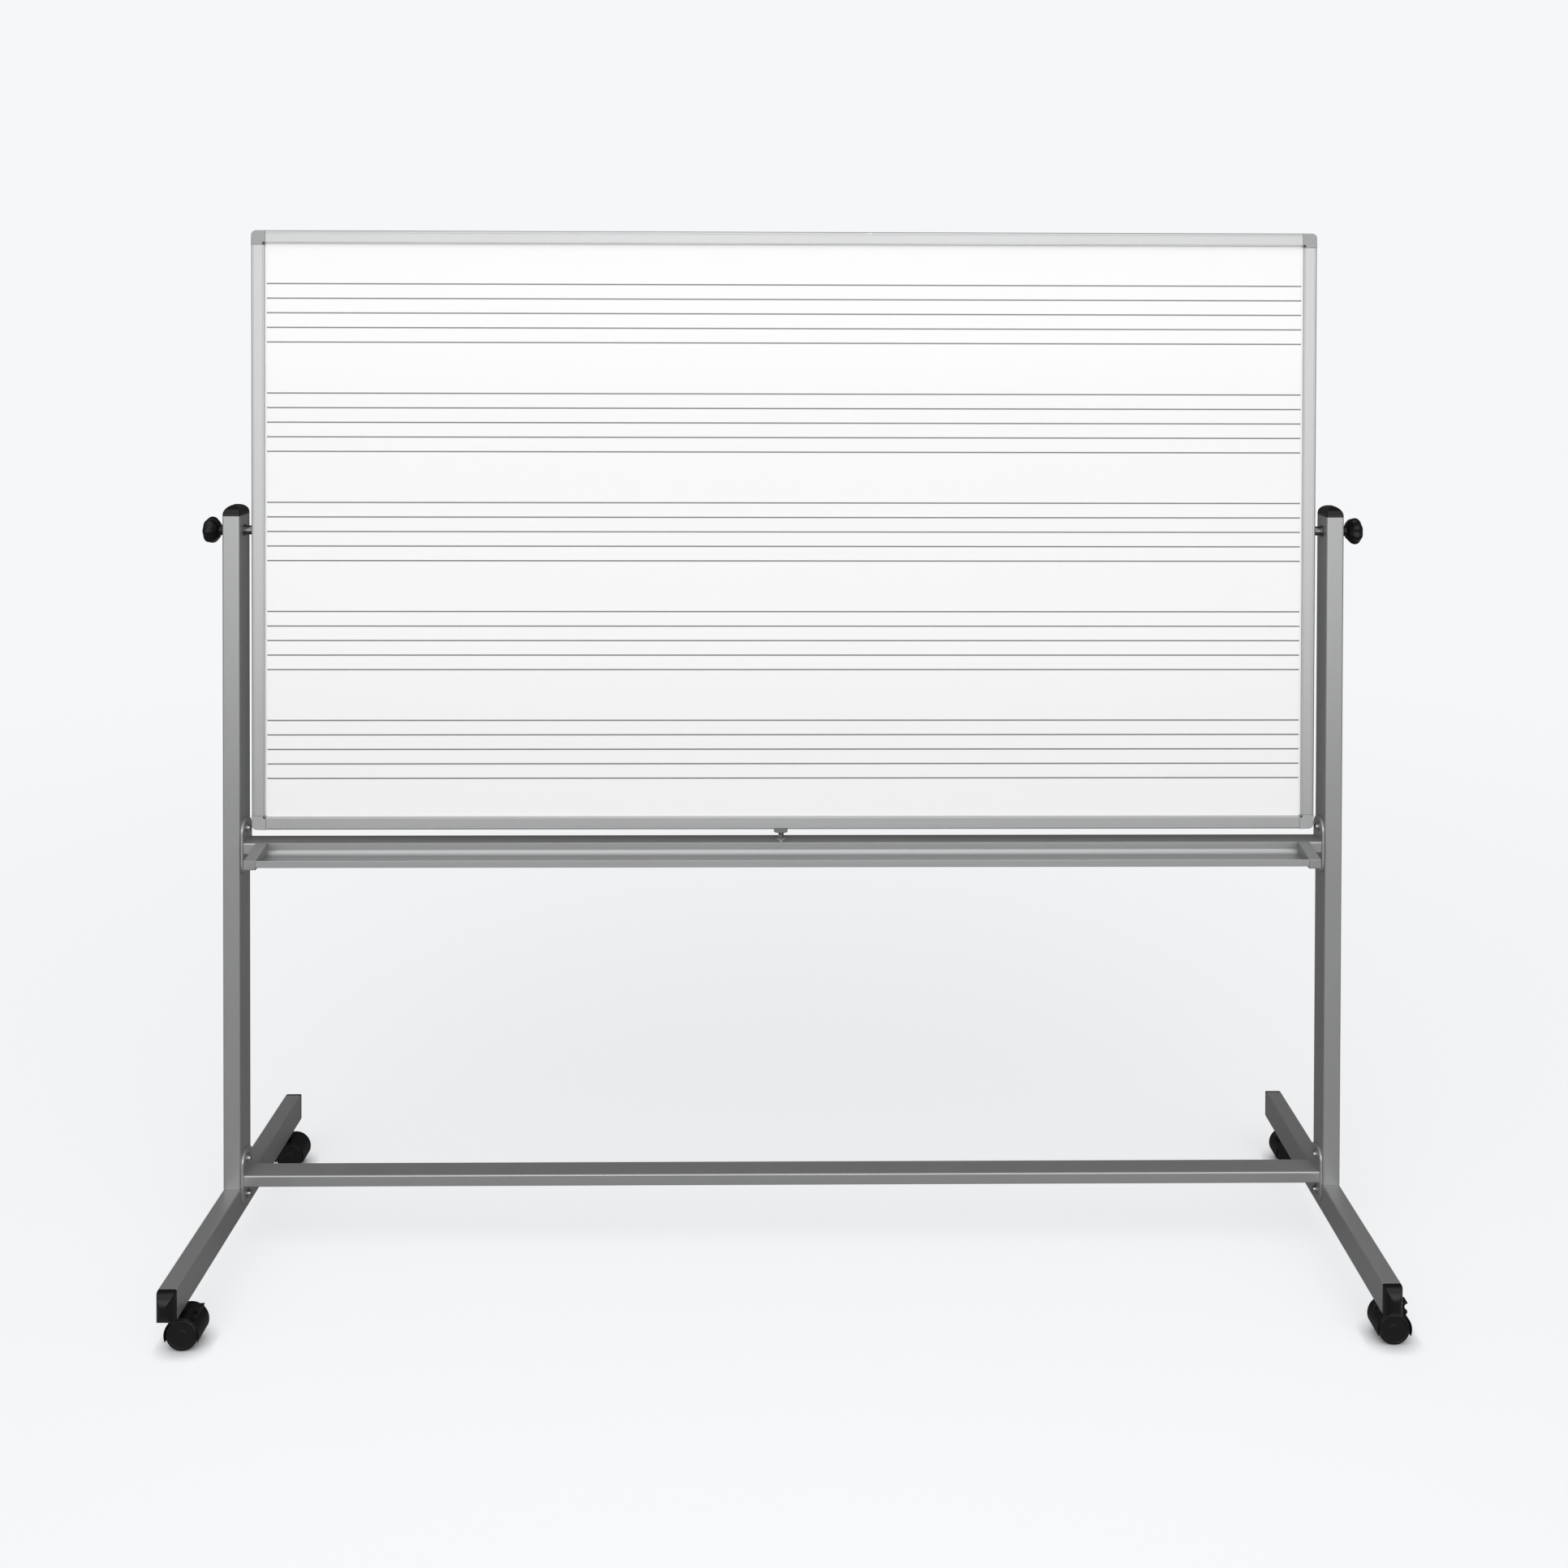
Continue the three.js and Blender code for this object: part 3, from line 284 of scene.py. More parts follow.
def piece(name, skins, materials, body, slot, *stands_for, inked=None, crease=40):
    """One mesh object made of skins. It rides on a body and stands for the named CAD nodes."""
    mesh = bpy.data.meshes.new(name)
    all_points, all_faces, all_worn = zip(*skins)
    starts = np.cumsum([0] + [len(points) for points in all_points]).tolist()
    faces = [
        [corner + start for corner in face]
        for skin_faces, start in zip(all_faces, starts)
        for face in skin_faces
    ]
    mesh.from_pydata(np.concatenate(all_points).tolist(), [], faces)
    edge = mesh.attributes.new("edge", "FLOAT", "POINT")
    edge.data.foreach_set("value", np.concatenate(all_worn).astype(np.float32))
    for material in materials:
        mesh.materials.append(material)
    if inked is not None:
        mesh.polygons.foreach_set("material_index", inked.astype(np.int32))
    mesh.shade_smooth()
    mesh.set_sharp_from_angle(angle=math.radians(crease))
    mesh.update()
    made = put_in_scene(name, mesh)
    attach(made, body)
    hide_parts(*stands_for)
    return made


def effect_group(name, inputs, outputs):
    """Starts a node group with named number inputs and outputs."""
    group = bpy.data.node_groups.new(name, "ShaderNodeTree")
    for socket, start in inputs.items():
        kind = "NodeSocketVector" if isinstance(start, tuple) else "NodeSocketFloat"
        made = group.interface.new_socket(socket, in_out="INPUT", socket_type=kind)
        made.default_value = start
    for socket in outputs:
        group.interface.new_socket(socket, in_out="OUTPUT", socket_type="NodeSocketFloat")
    return group, group.nodes.new("NodeGroupInput").outputs, group.nodes.new("NodeGroupOutput")


def coat_grain():
    """Fine grain of a coat or a moulded skin: close noise for its height, wide for its shade."""
    group, given, result = effect_group(
        "fine_grain", {"Scale": 900.0, "Blotches": 9.0}, ["Height", "Shade"]
    )
    place = add_node(group, "TexCoord").outputs["Object"]
    close = add_node(group, "TexNoise", {
        "Vector": place, "Scale": given["Scale"], "Detail": 3.0, "Roughness": 0.55,
    }).outputs[0]
    wide = add_node(group, "TexNoise", {
        "Vector": place, "Scale": given["Blotches"], "Detail": 4.0, "Roughness": 0.6,
    }).outputs[0]
    group.links.new(close, result.inputs["Height"])
    group.links.new(wide, result.inputs["Shade"])
    return group


def rubbed_edges():
    """Mask of the places on outer edges where handling has rubbed the finish bright."""
    group, given, result = effect_group("edge_wear", {"Scale": 60.0, "Spread": 0.4}, ["Mask"])
    place = add_node(group, "TexCoord").outputs["Object"]
    edge = add_node(group, "Attribute", attribute_name="edge").outputs["Fac"]
    patches = add_node(group, "TexNoise", {
        "Vector": place, "Scale": given["Scale"], "Detail": 5.0, "Roughness": 0.65,
    }).outputs[0]
    limit = add_node(group, "Math", {0: 1.0, 1: given["Spread"]}, operation="SUBTRACT").outputs[0]
    above_limit = add_node(group, "Math", {0: limit, 1: patch_fade}, operation="ADD").outputs[0]
    patch = add_node(group, "MapRange", {
        "Value": patches, "From Min": limit, "From Max": above_limit,
    }, interpolation_type="SMOOTHSTEP").outputs[0]
    worn = add_node(group, "Math", {0: patch, 1: edge}, operation="MULTIPLY").outputs[0]
    group.links.new(worn, result.inputs["Mask"])
    return group


def settled_dust():
    """Mask of the thin dust that settles on faces that look up, in soft patches."""
    group, given, result = effect_group("settled_dust", {"Scale": 14.0, "Amount": 0.3}, ["Mask"])
    place = add_node(group, "TexCoord").outputs["Object"]
    upward = add_node(group, "SeparateXYZ", {
        0: add_node(group, "NewGeometry").outputs["Normal"],
    }).outputs["Z"]
    facing = add_node(group, "MapRange", {
        "Value": upward, "From Min": 0.5, "From Max": 0.95,
    }).outputs[0]
    patches = add_node(group, "TexNoise", {
        "Vector": place, "Scale": given["Scale"], "Detail": 6.0, "Roughness": 0.7,
    }).outputs[0]
    cover = add_node(group, "Math", {0: patches, 1: facing}, operation="MULTIPLY").outputs[0]
    mask = add_node(group, "Math", {0: cover, 1: given["Amount"]}, operation="MULTIPLY").outputs[0]
    group.links.new(mask, result.inputs["Mask"])
    return group


grain_group, wear_group, dust_group = coat_grain(), rubbed_edges(), settled_dust()


def new_finish(name, **sockets):
    """Starts a material and sets its shader's own sockets."""
    material = bpy.data.materials.new(name)
    material.use_nodes = True
    shader = material.node_tree.nodes["Principled BSDF"].inputs
    for socket, value in sockets.items():
        shader[socket.replace("_", " ")].default_value = value
    return material, material.node_tree, shader


def effect(tree, group, **values):
    """Places an effect group in a material with its own values."""
    placed = add_node(tree, "Group", node_tree=group)
    for socket, value in values.items():
        placed.inputs[socket].default_value = value
    return placed


def blend_colours(tree, share, first, second):
    """Colour between two, by a share from 0 to 1."""
    made = add_node(tree, "Mix", {0: share, 6: first, 7: second}, data_type="RGBA")
    return made.outputs[2]


def spread(tree, value, low, high):
    """A value from 0 to 1 spread between two others."""
    return add_node(tree, "MapRange", {"Value": value, "To Min": low, "To Max": high}).outputs[0]


def raised(tree, shader, height, distance):
    """Feeds the shader's normal with a bump of a height that is the given distance deep."""
    bump = add_node(tree, "Bump", {"Height": height, "Distance": distance, "Strength": 1.0})
    tree.links.new(bump.outputs[0], shader["Normal"])


paint, tree, shader = new_finish("silver_grey_powder_coat", Metallic=0.6)
grain = effect(tree, grain_group, Scale=850.0, Blotches=7.0)
wear = effect(tree, wear_group, Scale=70.0, Spread=0.34).outputs["Mask"]
dust = effect(tree, dust_group, Scale=16.0, Amount=0.25).outputs["Mask"]
speckled = blend_colours(
    tree, spread(tree, grain.outputs["Height"], 0.0, 1.0),
    (0.315, 0.318, 0.322, 1), (0.46, 0.463, 0.468, 1),
)
mottled = blend_colours(
    tree, spread(tree, grain.outputs["Shade"], 0.0, 0.12), speckled, (0.345, 0.347, 0.351, 1)
)
rubbed_paint = blend_colours(tree, wear, mottled, (0.55, 0.552, 0.555, 1))
tree.links.new(blend_colours(tree, dust, rubbed_paint, (0.5, 0.49, 0.47, 1)), shader["Base Color"])
gloss = spread(tree, grain.outputs["Shade"], 0.3, 0.4)
dulled = add_node(tree, "Math", {0: gloss, 1: dust}, operation="ADD").outputs[0]
tree.links.new(dulled, shader["Roughness"])
raised(tree, shader, grain.outputs["Height"], 0.012 * mm)


def tube_outline(half_wide, half_high, corner, steps=6):
    """Section of a rectangular tube about its own middle."""
    corners = [(half_wide, -half_high), (half_wide, half_high),
               (-half_wide, half_high), (-half_wide, -half_high)]
    return rounded(corners, corner, steps)


def extent(node):
    """Lowest corner, highest corner and middle of the box round a CAD node."""
    low, high = (np.array(corner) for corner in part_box(node))
    return low, high, (low + high) / 2


def tube(node, axis, below=0):
    """Tube between the ends that a CAD node has along an axis, or from a little below them."""
    low, high, middle = extent(node)
    run = "xyz".index(axis)
    wide, deep = np.delete((high - low) / 2, run)
    middle[run] = 0
    outline = tube_outline(wide, deep, tube_corner)
    return slab(outline, low[run] - below, high[run], axis, tube_trim, origin=middle)


for side in ("left", "right"):
    piece(f"foot_tube_{side}", [tube(f"foot_{side}", "y")],
          [paint], "stand", "frame_paint", f"foot_{side}")


# Uprights
# The same tube, standing on the middle of each foot. The weld between them is ground flush and
# painted over, so the tube runs straight down onto the foot. The pivot bolt passes its top.
weld_gap = 0.3 * mm
for side in ("left", "right"):
    piece(f"upright_tube_{side}", [tube(f"upright_{side}", "z", weld_gap)],
          [paint], "stand", "frame_paint", f"upright_{side}")


# Tube caps
# Black polypropylene caps, knocked into the open ends of the feet and the uprights. Each is a
# pair of crossing vaults over the tube's outline, with soft hips where the vaults meet.
cap_dome = 18 * mm
cap_skirt = 0.8 * mm
cap_hip = 0.9 * mm
vault_rings = 18
vault_bunching = 0.8
vault_end = 0.4995 * math.pi
corner_tightening = 12
moulding_black = (0.005, 0.005, 0.0055, 1)
scuffed_black = (0.03, 0.03, 0.031, 1)


def black_moulding(name, colour, roughness, worn_colour, grain_scale, spread_of_wear):
    """Finish of a black moulding: a satin skin, fine texture and edges rubbed a little grey."""
    material, tree, shader = new_finish(name, Specular_IOR_Level=0.25)
    grain = effect(tree, grain_group, Scale=grain_scale, Blotches=22.0)
    wear = effect(tree, wear_group, Scale=160.0, Spread=spread_of_wear).outputs["Mask"]
    scuffed = blend_colours(
        tree, spread(tree, grain.outputs["Shade"], 0.0, 0.35), colour, scaled(colour, 1.6)
    )
    tree.links.new(blend_colours(tree, wear, scuffed, worn_colour), shader["Base Color"])
    tree.links.new(
        spread(tree, grain.outputs["Shade"], roughness - 0.06, roughness + 0.1), shader["Roughness"]
    )
    raised(tree, shader, grain.outputs["Height"], 0.02 * mm)
    return material


cap_plastic = black_moulding("black_cap_plastic", moulding_black, 0.26, scuffed_black, 1500.0, 0.4)


def at_height(points, height):
    """Outline as a ring at one height."""
    return np.column_stack([points, np.full(len(points), height)])


def tube_cap(half_wide, half_deep):
    """Cap on a tube that ends at height 0. At an angle a up the vault its section is the tube's
    outline scaled by cos a, at a height of the dome times sin a, and its corners grow tighter
    with the same cosine. A short skirt stands under the vault."""
    angle = np.concatenate([[0], np.linspace(0, 1, vault_rings) ** vault_bunching]) * vault_end
    scale, rise = np.cos(angle), np.sin(angle)
    corner = cap_hip * scale + (tube_corner - cap_hip) * scale ** corner_tightening
    rings = np.stack([
        at_height(tube_outline(half_wide * s, half_deep * s, c)[0],
                  cap_skirt + (cap_dome - cap_skirt) * r)
        for s, r, c in zip(scale, rise, corner)
    ])
    rings[0, :, 2] = 0
    return rings


def seat_cap(node, axis, sign):
    """Sets a tube cap on the tube's end that a CAD cap fills, pointing along the axis."""
    low, high, middle = extent(node)
    run = "xyz".index(axis)
    half = (high - low) / 2
    top = high[run] if sign > 0 else -low[run]
    rings = tube_cap(*((half[2], half[0]) if axis == "y" else half[:2]))
    rings[..., 2] += top - cap_dome
    if sign < 0:
        rings = rings * (1, -1, -1)
    middle[run] = 0
    return skin(lay(rings, axis, middle), 1.0)


for side in ("left", "right"):
    piece(f"upright_end_cap_{side}", [seat_cap(f"upright_cap_{side}", "z", 1)],
          [cap_plastic], "stand", "black_plastic", f"upright_cap_{side}", crease=60)
    for end, sign in (("front", -1), ("rear", 1)):
        piece(f"foot_end_cap_{end}_{side}", [seat_cap(f"foot_cap_{end}_{side}", "y", sign)],
              [cap_plastic], "stand", "black_plastic", f"foot_cap_{end}_{side}", crease=60)


# Crossbars
# Two lighter tubes across the stand, with a round-ended steel plate welded to each end. A thin
# fillet of weld runs round each joint under the same silver-grey coat.
bar_half_wide = 20 * mm
bar_half_high = 10 * mm
bar_corner = 2.5 * mm
bar_rim = 0.1 * mm
plate_thickness = 4 * mm
plate_half_wide = 22 * mm
plate_half_high = 49 * mm
plate_side_flat = 0.4 * mm
plate_rim = 0.6 * mm
weld_leg = 1.6 * mm
weld_rings = 6


def crossbar(node):
    """Bar, end plates and weld fillets. A fillet is the bar's outline grown by the weld's leg at
    the plate and drawn in to the bar's own size a leg further along."""
    end = extent(node)[1][0]
    centre = (0, *extent(node)[2][1:])
    reach = end - plate_thickness
    bar_outline = tube_outline(bar_half_wide, bar_half_high, bar_corner)
    skins = [slab(bar_outline, -reach, reach, "x", bar_rim, origin=centre)]
    plate_corner = plate_half_wide - plate_side_flat
    plate = tube_outline(plate_half_wide, plate_half_high, plate_corner, steps=14)
    for side in (-1, 1):
        run = sorted((side * reach, side * end))
        skins.append(slab(plate, *run, "x", plate_rim, origin=centre))
    angle = np.linspace(0, 1, weld_rings) * math.pi / 2
    grown, along = weld_leg * (1 - np.sin(angle)), weld_leg * (1 - np.cos(angle))
    for side in (-1, 1):
        rings = np.stack([
            at_height(tube_outline(bar_half_wide + g, bar_half_high + g, bar_corner + g)[0],
                      side * (reach - a))
            for g, a in zip(grown, along)
        ])
        skins.append(skin(lay(rings if side < 0 else rings[::-1], "x", centre), 0.0))
    return skins


for level in ("lower", "upper"):
    piece(f"{level}_crossbar_weldment", crossbar(f"{level}_crossbar"),
          [paint], "stand", "frame_paint", f"{level}_crossbar")


# Frame bolts
# Button-head machine screws with flat washers, bright zinc plated. They hold the end plates to
# the nuts inside the tubes, and have a hexagon socket for the key.
head_radius = 5.5 * mm
head_height = 4.5 * mm
head_edge = 0.8 * mm
crown_share = 0.72
crown_fall = 0.7 * mm
washer_radius = 8 * mm
washer_height = 1.5 * mm
washer_play = 0.3 * mm
washer_gap = 0.02 * mm
socket_radius = 2.3 * mm
socket_depth = 2.4 * mm
socket_edge = 0.2 * mm
flat_share = 0.94
shank_radius = 3 * mm
bolt_sides = 48
axis_hole = 0.03 * mm

zinc, tree, shader = new_finish("bright_zinc", Metallic=1.0)
grain = effect(tree, grain_group, Scale=600.0, Blotches=120.0)
wear = effect(tree, wear_group, Scale=220.0, Spread=0.5).outputs["Mask"]
plated = blend_colours(
    tree, grain.outputs["Shade"], (0.40, 0.404, 0.412, 1), (0.52, 0.52, 0.516, 1)
)
tree.links.new(blend_colours(tree, wear, plated, (0.7, 0.7, 0.695, 1)), shader["Base Color"])
tree.links.new(spread(tree, grain.outputs["Shade"], 0.2, 0.36), shader["Roughness"])
raised(tree, shader, grain.outputs["Height"], 0.01 * mm)


def turned(corners, radii, sides, cut=None, steps=5):
    """Turned skin from a profile of (radius, height) corners, rounded like an outline: at an
    angle t its point is (radius cos t, radius sin t, height). A profile that starts and ends on
    the axis is closed there. A cut takes its own amount off the radius at each point."""
    profile, worn = rounded(corners, radii, steps)
    on_axis = min(radius for radius, _ in corners) <= 0
    if on_axis:
        off = profile[:, 0] > axis_hole
        profile, worn = profile[off], worn[off]
    angle = np.arange(sides) * 2 * math.pi / sides
    radius = np.broadcast_to(profile[:, :1], (len(profile), sides))
    if cut is not None:
        radius = radius - cut(profile, angle)
    rings = np.stack([
        radius * np.cos(angle), radius * np.sin(angle),
        np.broadcast_to(profile[:, 1:], radius.shape),
    ], -1)
    return rings, worn[:, None], not on_axis


def hexagon(profile, angle):
    """Cut that turns the key's round socket into a hexagon, whose radius is the distance across
    its flats over twice the cosine of the angle from the nearest flat's middle."""
    flat = 1 / np.cos((angle + math.pi / 6) % (math.pi / 3) - math.pi / 6)
    in_socket = (profile[:, :1] < socket_radius + socket_edge) & (profile[:, 1:] > 0)
    return np.where(in_socket, profile[:, :1] * (1 - flat * flat_share), 0)


def frame_bolt(node, side):
    """Screw and washer where the CAD has them; side is where the tube lies, -1 or 1."""
    low, high, middle = extent(node)
    crown = -low[0] if side > 0 else high[0]
    tip = -high[0] if side > 0 else low[0]
    seat = crown - head_height
    head = [
        (0, tip), (shank_radius, tip), (shank_radius, seat), (head_radius, seat),
        (head_radius, seat + head_edge), (crown_share * head_radius, crown - crown_fall),
        (socket_radius, crown), (socket_radius, crown - socket_depth), (0, crown - socket_depth),
    ]
    rounding = np.array([0.02, 0.4, 0.2, 0.25, 0.5, 2.0, 0.25, 0.15, 0.02]) * mm
    hole, bottom, top = shank_radius + washer_play, seat - washer_height, seat - washer_gap
    washer = [(hole, bottom), (washer_radius, bottom), (washer_radius, top), (hole, top)]
    turn = (1, 1, 1) if side < 0 else (-1, -1, 1)
    return [
        skin(lay(rings, "x") * turn + (0, *middle[1:]), worn, closed)
        for rings, worn, closed in (
            turned(head, rounding, bolt_sides, hexagon), turned(washer, 0.3 * mm, bolt_sides)
        )
    ]


for side, sign in (("left", -1), ("right", 1)):
    for level in ("lower", "upper"):
        for end in ("top", "bottom"):
            node = f"{level}_bolt_{end}_{side}"
            piece(f"{level}_screw_{end}_{side}", frame_bolt(node, sign),
                  [zinc], "stand", "bolt_zinc", node, crease=50)


# Caster stems
# Turned steel, zinc plated. The threaded end screws up into the foot, the collar bears on its
# underside, and the hood swivels on the plain pin below.
collar_height = 2.5 * mm
collar_gap = 0.3 * mm
pin_radius = 4 * mm
thread_radius = 5 * mm
for end in ("front", "rear"):
    for side in ("left", "right"):
        node = f"caster_{end}_{side}_stem"
        low, high, middle = extent(node)
        collar_radius = (high[0] - low[0]) / 2
        collar_top = extent(f"foot_{side}")[0][2] - collar_gap
        collar_bottom = collar_top - collar_height
        profile = [
            (0, low[2]), (pin_radius, low[2]), (pin_radius, collar_bottom),
            (collar_radius, collar_bottom), (collar_radius, collar_top),
            (thread_radius, collar_top), (thread_radius, high[2]), (0, high[2]),
        ]
        rings, worn, closed = turned(profile, 0.35 * mm, bolt_sides)
        piece(f"caster_pin_{end}_{side}", [skin(lay(rings, "z", (*middle[:2], 0)), worn, closed)],
              [zinc], "stand", "bolt_zinc", node)


# Caster hoods
# Black nylon mouldings. A band curves over both wheels and ends in a skirt below the axle, a
# web between the wheels carries the axle, and a flared neck takes the swivel pin.
hood_wall = 2 * mm
hood_gap = 1 * mm
hood_skirt = 9 * mm
hood_half_wide = 21 * mm
hood_rim = 0.6 * mm
web_half = 6.7 * mm
web_inner = 4 * mm
web_rim = 0.4 * mm
web_lap = 0.5 * mm
neck_radius = 8.5 * mm
neck_gap = 0.6 * mm
neck_round = 0.6 * mm
neck_root = 8 * mm
neck_sides = 64
flare_width = 4 * mm
flare_fade = 3 * mm
nylon = black_moulding("black_caster_nylon", moulding_black, 0.34, scuffed_black, 1300.0, 0.42)


def arc_band(inner, outer, dip, steps=72):
    """Outline of a band over the axle, drawn in X and Z, whose ends dip below it by an angle:
    out along the outer arc, back along the inner one, and a half circle round each end."""
    start, end = -dip, math.pi + dip
    middle, half = (inner + outer) / 2, (outer - inner) / 2
    turn = np.linspace(start, end, steps)
    far = np.stack([outer * np.cos(turn), outer * np.sin(turn)], 1)
    near = np.stack([inner * np.cos(turn), inner * np.sin(turn)], 1)[::-1]
    bend = np.linspace(0, math.pi, 8)[1:-1, None]
    ends = []
    for angle, sign in ((end, 1), (start, -1)):
        out = np.array([math.cos(angle), math.sin(angle)])
        on = sign * np.array([-math.sin(angle), math.cos(angle)])
        ends.append(middle * out + half * (
            sign * np.cos(bend) * out + np.sin(bend) * on
        ))
    points = np.concatenate([far, ends[0], near, ends[1]])
    return points, np.repeat([0, 1, 0, 1], [steps, len(bend), steps, len(bend)])


def caster_hood(axle, neck_top, swivel):
    """Band, web and neck. The neck's radius is that of its top plus a flare that fades with the
    height above the band."""
    wheel_radius = axle[2]
    inner = wheel_radius + hood_gap
    outer = inner + hood_wall
    dip = math.asin(hood_skirt / outer)
    band = slab(arc_band(inner, outer, dip), -hood_half_wide, hood_half_wide, "y", hood_rim,
                origin=axle)
    web = slab(arc_band(web_inner, inner + web_lap, dip), -web_half, web_half, "y", web_rim,
               origin=axle)
    height = np.linspace(wheel_radius - neck_root, neck_top - axle[2] - neck_round, 14)
    faded = (height - height[0] - flare_width).clip(0) / flare_fade
    radius = neck_radius + flare_width * np.exp(-faded)
    radius = np.append(radius, neck_radius - np.array([0.2, 0.6]) * mm)[:, None]
    height = np.append(height, height[-1] + np.array([0.4, 0.6]) * mm)[:, None]
    angle = np.arange(neck_sides) * 2 * math.pi / neck_sides
    rings = np.stack([radius * np.cos(angle), radius * np.sin(angle), height + 0 * angle], -1)
    worn = np.zeros((len(radius), 1))
    worn[-3:] = 1
    return [band, web, skin(rings + (*swivel, axle[2]), worn)]


# Wheels
# Twin discs of black nylon on one axle. The outer face is dished, with a hub boss and a fine
# ring inside the rim, and the tread is dulled by the floor.
wheel_dish = 0.9 * mm
wheel_rim_width = 4.6 * mm
rim_slope = 0.7 * mm
shoulder = 1.6 * mm
inner_shoulder = 1.0 * mm
boss_radius = 7.6 * mm
boss_foot = 8.4 * mm
boss_sunk = 0.2 * mm
wheel_sides = 96
tread_black = (0.006, 0.006, 0.0063, 1)
scuffed_tread = (0.035, 0.035, 0.034, 1)
tread = black_moulding("black_wheel_nylon", tread_black, 0.42, scuffed_tread, 900.0, 0.5)


def caster_wheel(node, outward):
    """Wheel turned about the axle, its outer face towards outward, -1 or 1."""
    low, high, middle = extent(node)
    radius = (high[2] - low[2]) / 2
    face = high[1] if outward > 0 else -low[1]
    back = low[1] if outward > 0 else -high[1]
    profile = [
        (0, back), (radius - inner_shoulder, back), (radius, back + inner_shoulder),
        (radius, face - shoulder), (radius - shoulder, face), (radius - wheel_rim_width, face),
        (radius - wheel_rim_width - rim_slope, face - wheel_dish),
        (boss_foot, face - wheel_dish), (boss_radius, face - boss_sunk), (0, face - boss_sunk),
    ]
    rounding = np.array([0.02, 0.7, 0.8, 1.2, 1.2, 0.4, 0.4, 0.4, 0.5, 0.02]) * mm
    rings, worn, closed = turned(profile, rounding, wheel_sides)
    rings = lay(rings, "y") * (outward, outward, 1)
    return skin(rings + (middle[0], 0, middle[2]), worn, closed)


# Brake levers
# Black nylon toe levers on the two front casters only. Each turns on a cross pin in the hood's
# lugs, and its tab stands out just under the foot.
lever_half_wide = 12 * mm
lever_half = 3.4 * mm
lever_round = 3.2 * mm
pin_inset = 4.6 * mm
tab_half_wide = 7 * mm
tab_root_half = 3.0 * mm
lug_half = 4.2 * mm
lug_round = 4.0 * mm
lug_near = 12.3 * mm
lug_far = 14.9 * mm


def brake_lever(node):
    """Cross bar and tab, between the places that the CAD lever has, and the hood's two lugs."""
    low, high, middle = extent(node)
    pin = (low[0] + pin_inset, middle[1], low[2] + pin_inset)
    bar = slab(tube_outline(lever_half, lever_half, lever_round),
               -lever_half_wide, lever_half_wide, "y", 0.5 * mm, origin=pin)
    top = high[2] - pin[2]
    reach = high[0] - pin[0]
    corners = [
        (-tab_root_half, 0.5 * mm), (tab_root_half, 0.5 * mm), (3.6 * mm, top - 4.2 * mm),
        (reach, top - 2.8 * mm), (reach, top), (-tab_root_half, top - 1.6 * mm),
    ]
    radii = np.array([0.8, 0.8, 2.6, 1.2, 1.2, 1.6]) * mm
    tab = slab(rounded(corners, radii), -tab_half_wide, tab_half_wide, "y", 0.9 * mm, origin=pin)
    lugs = [
        slab(tube_outline(lug_half, lug_half, lug_round), *run, "y", 0.4 * mm, origin=pin)
        for run in ((-lug_far, -lug_near), (lug_near, lug_far))
    ]
    return [bar, tab], lugs


for end in ("front", "rear"):
    for side in ("left", "right"):
        caster = f"caster_{end}_{side}"
        axle = extent(f"{caster}_wheel_front")[2]
        axle[1] = extent(f"{caster}_hood")[2][1]
        swivel = extent(f"{caster}_stem")[2][:2]
        neck_top = extent(f"foot_{side}")[0][2] - neck_gap - collar_height
        hood_skins = caster_hood(axle, neck_top, swivel)
        if end == "front":
            lever, lugs = brake_lever(f"{caster}_brake")
            hood_skins += lugs
            piece(f"{caster}_toe_lever", lever, [nylon], f"{caster}_brake",
                  "caster_plastic", f"{caster}_brake")
        piece(f"{caster}_hood_moulding", hood_skins, [nylon], f"{caster}_swivel",
              "caster_plastic", f"{caster}_hood")
        for place, outward in (("front", -1), ("rear", 1)):
            wheel = f"{caster}_wheel_{place}"
            piece(f"{caster}_disc_{place}", [caster_wheel(wheel, outward)], [tread], wheel,
                  "caster_tread", wheel)


# Marker tray
# One aluminium extrusion, satin anodised, riveted to the front of the upper crossbar. A cove
# runs along its back for the markers, and a lip along its front holds them in.
tray_wall = 1.5 * mm
tray_lip = 12 * mm
tray_cove = 9 * mm
cap_over_tray = 3 * mm


def drawn_lines():
    """Fine lines that an extrusion's die leaves along it: noise drawn out along the length."""
    group, given, result = effect_group(
        "drawn_lines", {"Stretch": (1.0, 1.0, 1.0)}, ["Height", "Shade"]
    )
    place = add_node(group, "TexCoord").outputs["Object"]
    drawn = add_node(group, "Mapping", {"Vector": place, "Scale": given["Stretch"]}).outputs[0]
    fine = add_node(group, "TexNoise", {
        "Vector": drawn, "Scale": 1.0, "Detail": 4.0, "Roughness": 0.7,
    }).outputs[0]
    cloudy = add_node(group, "TexNoise", {
        "Vector": place, "Scale": 5.0, "Detail": 3.0, "Roughness": 0.5,
    }).outputs[0]
    group.links.new(fine, result.inputs["Height"])
    group.links.new(cloudy, result.inputs["Shade"])
    return group


lines_group = drawn_lines()


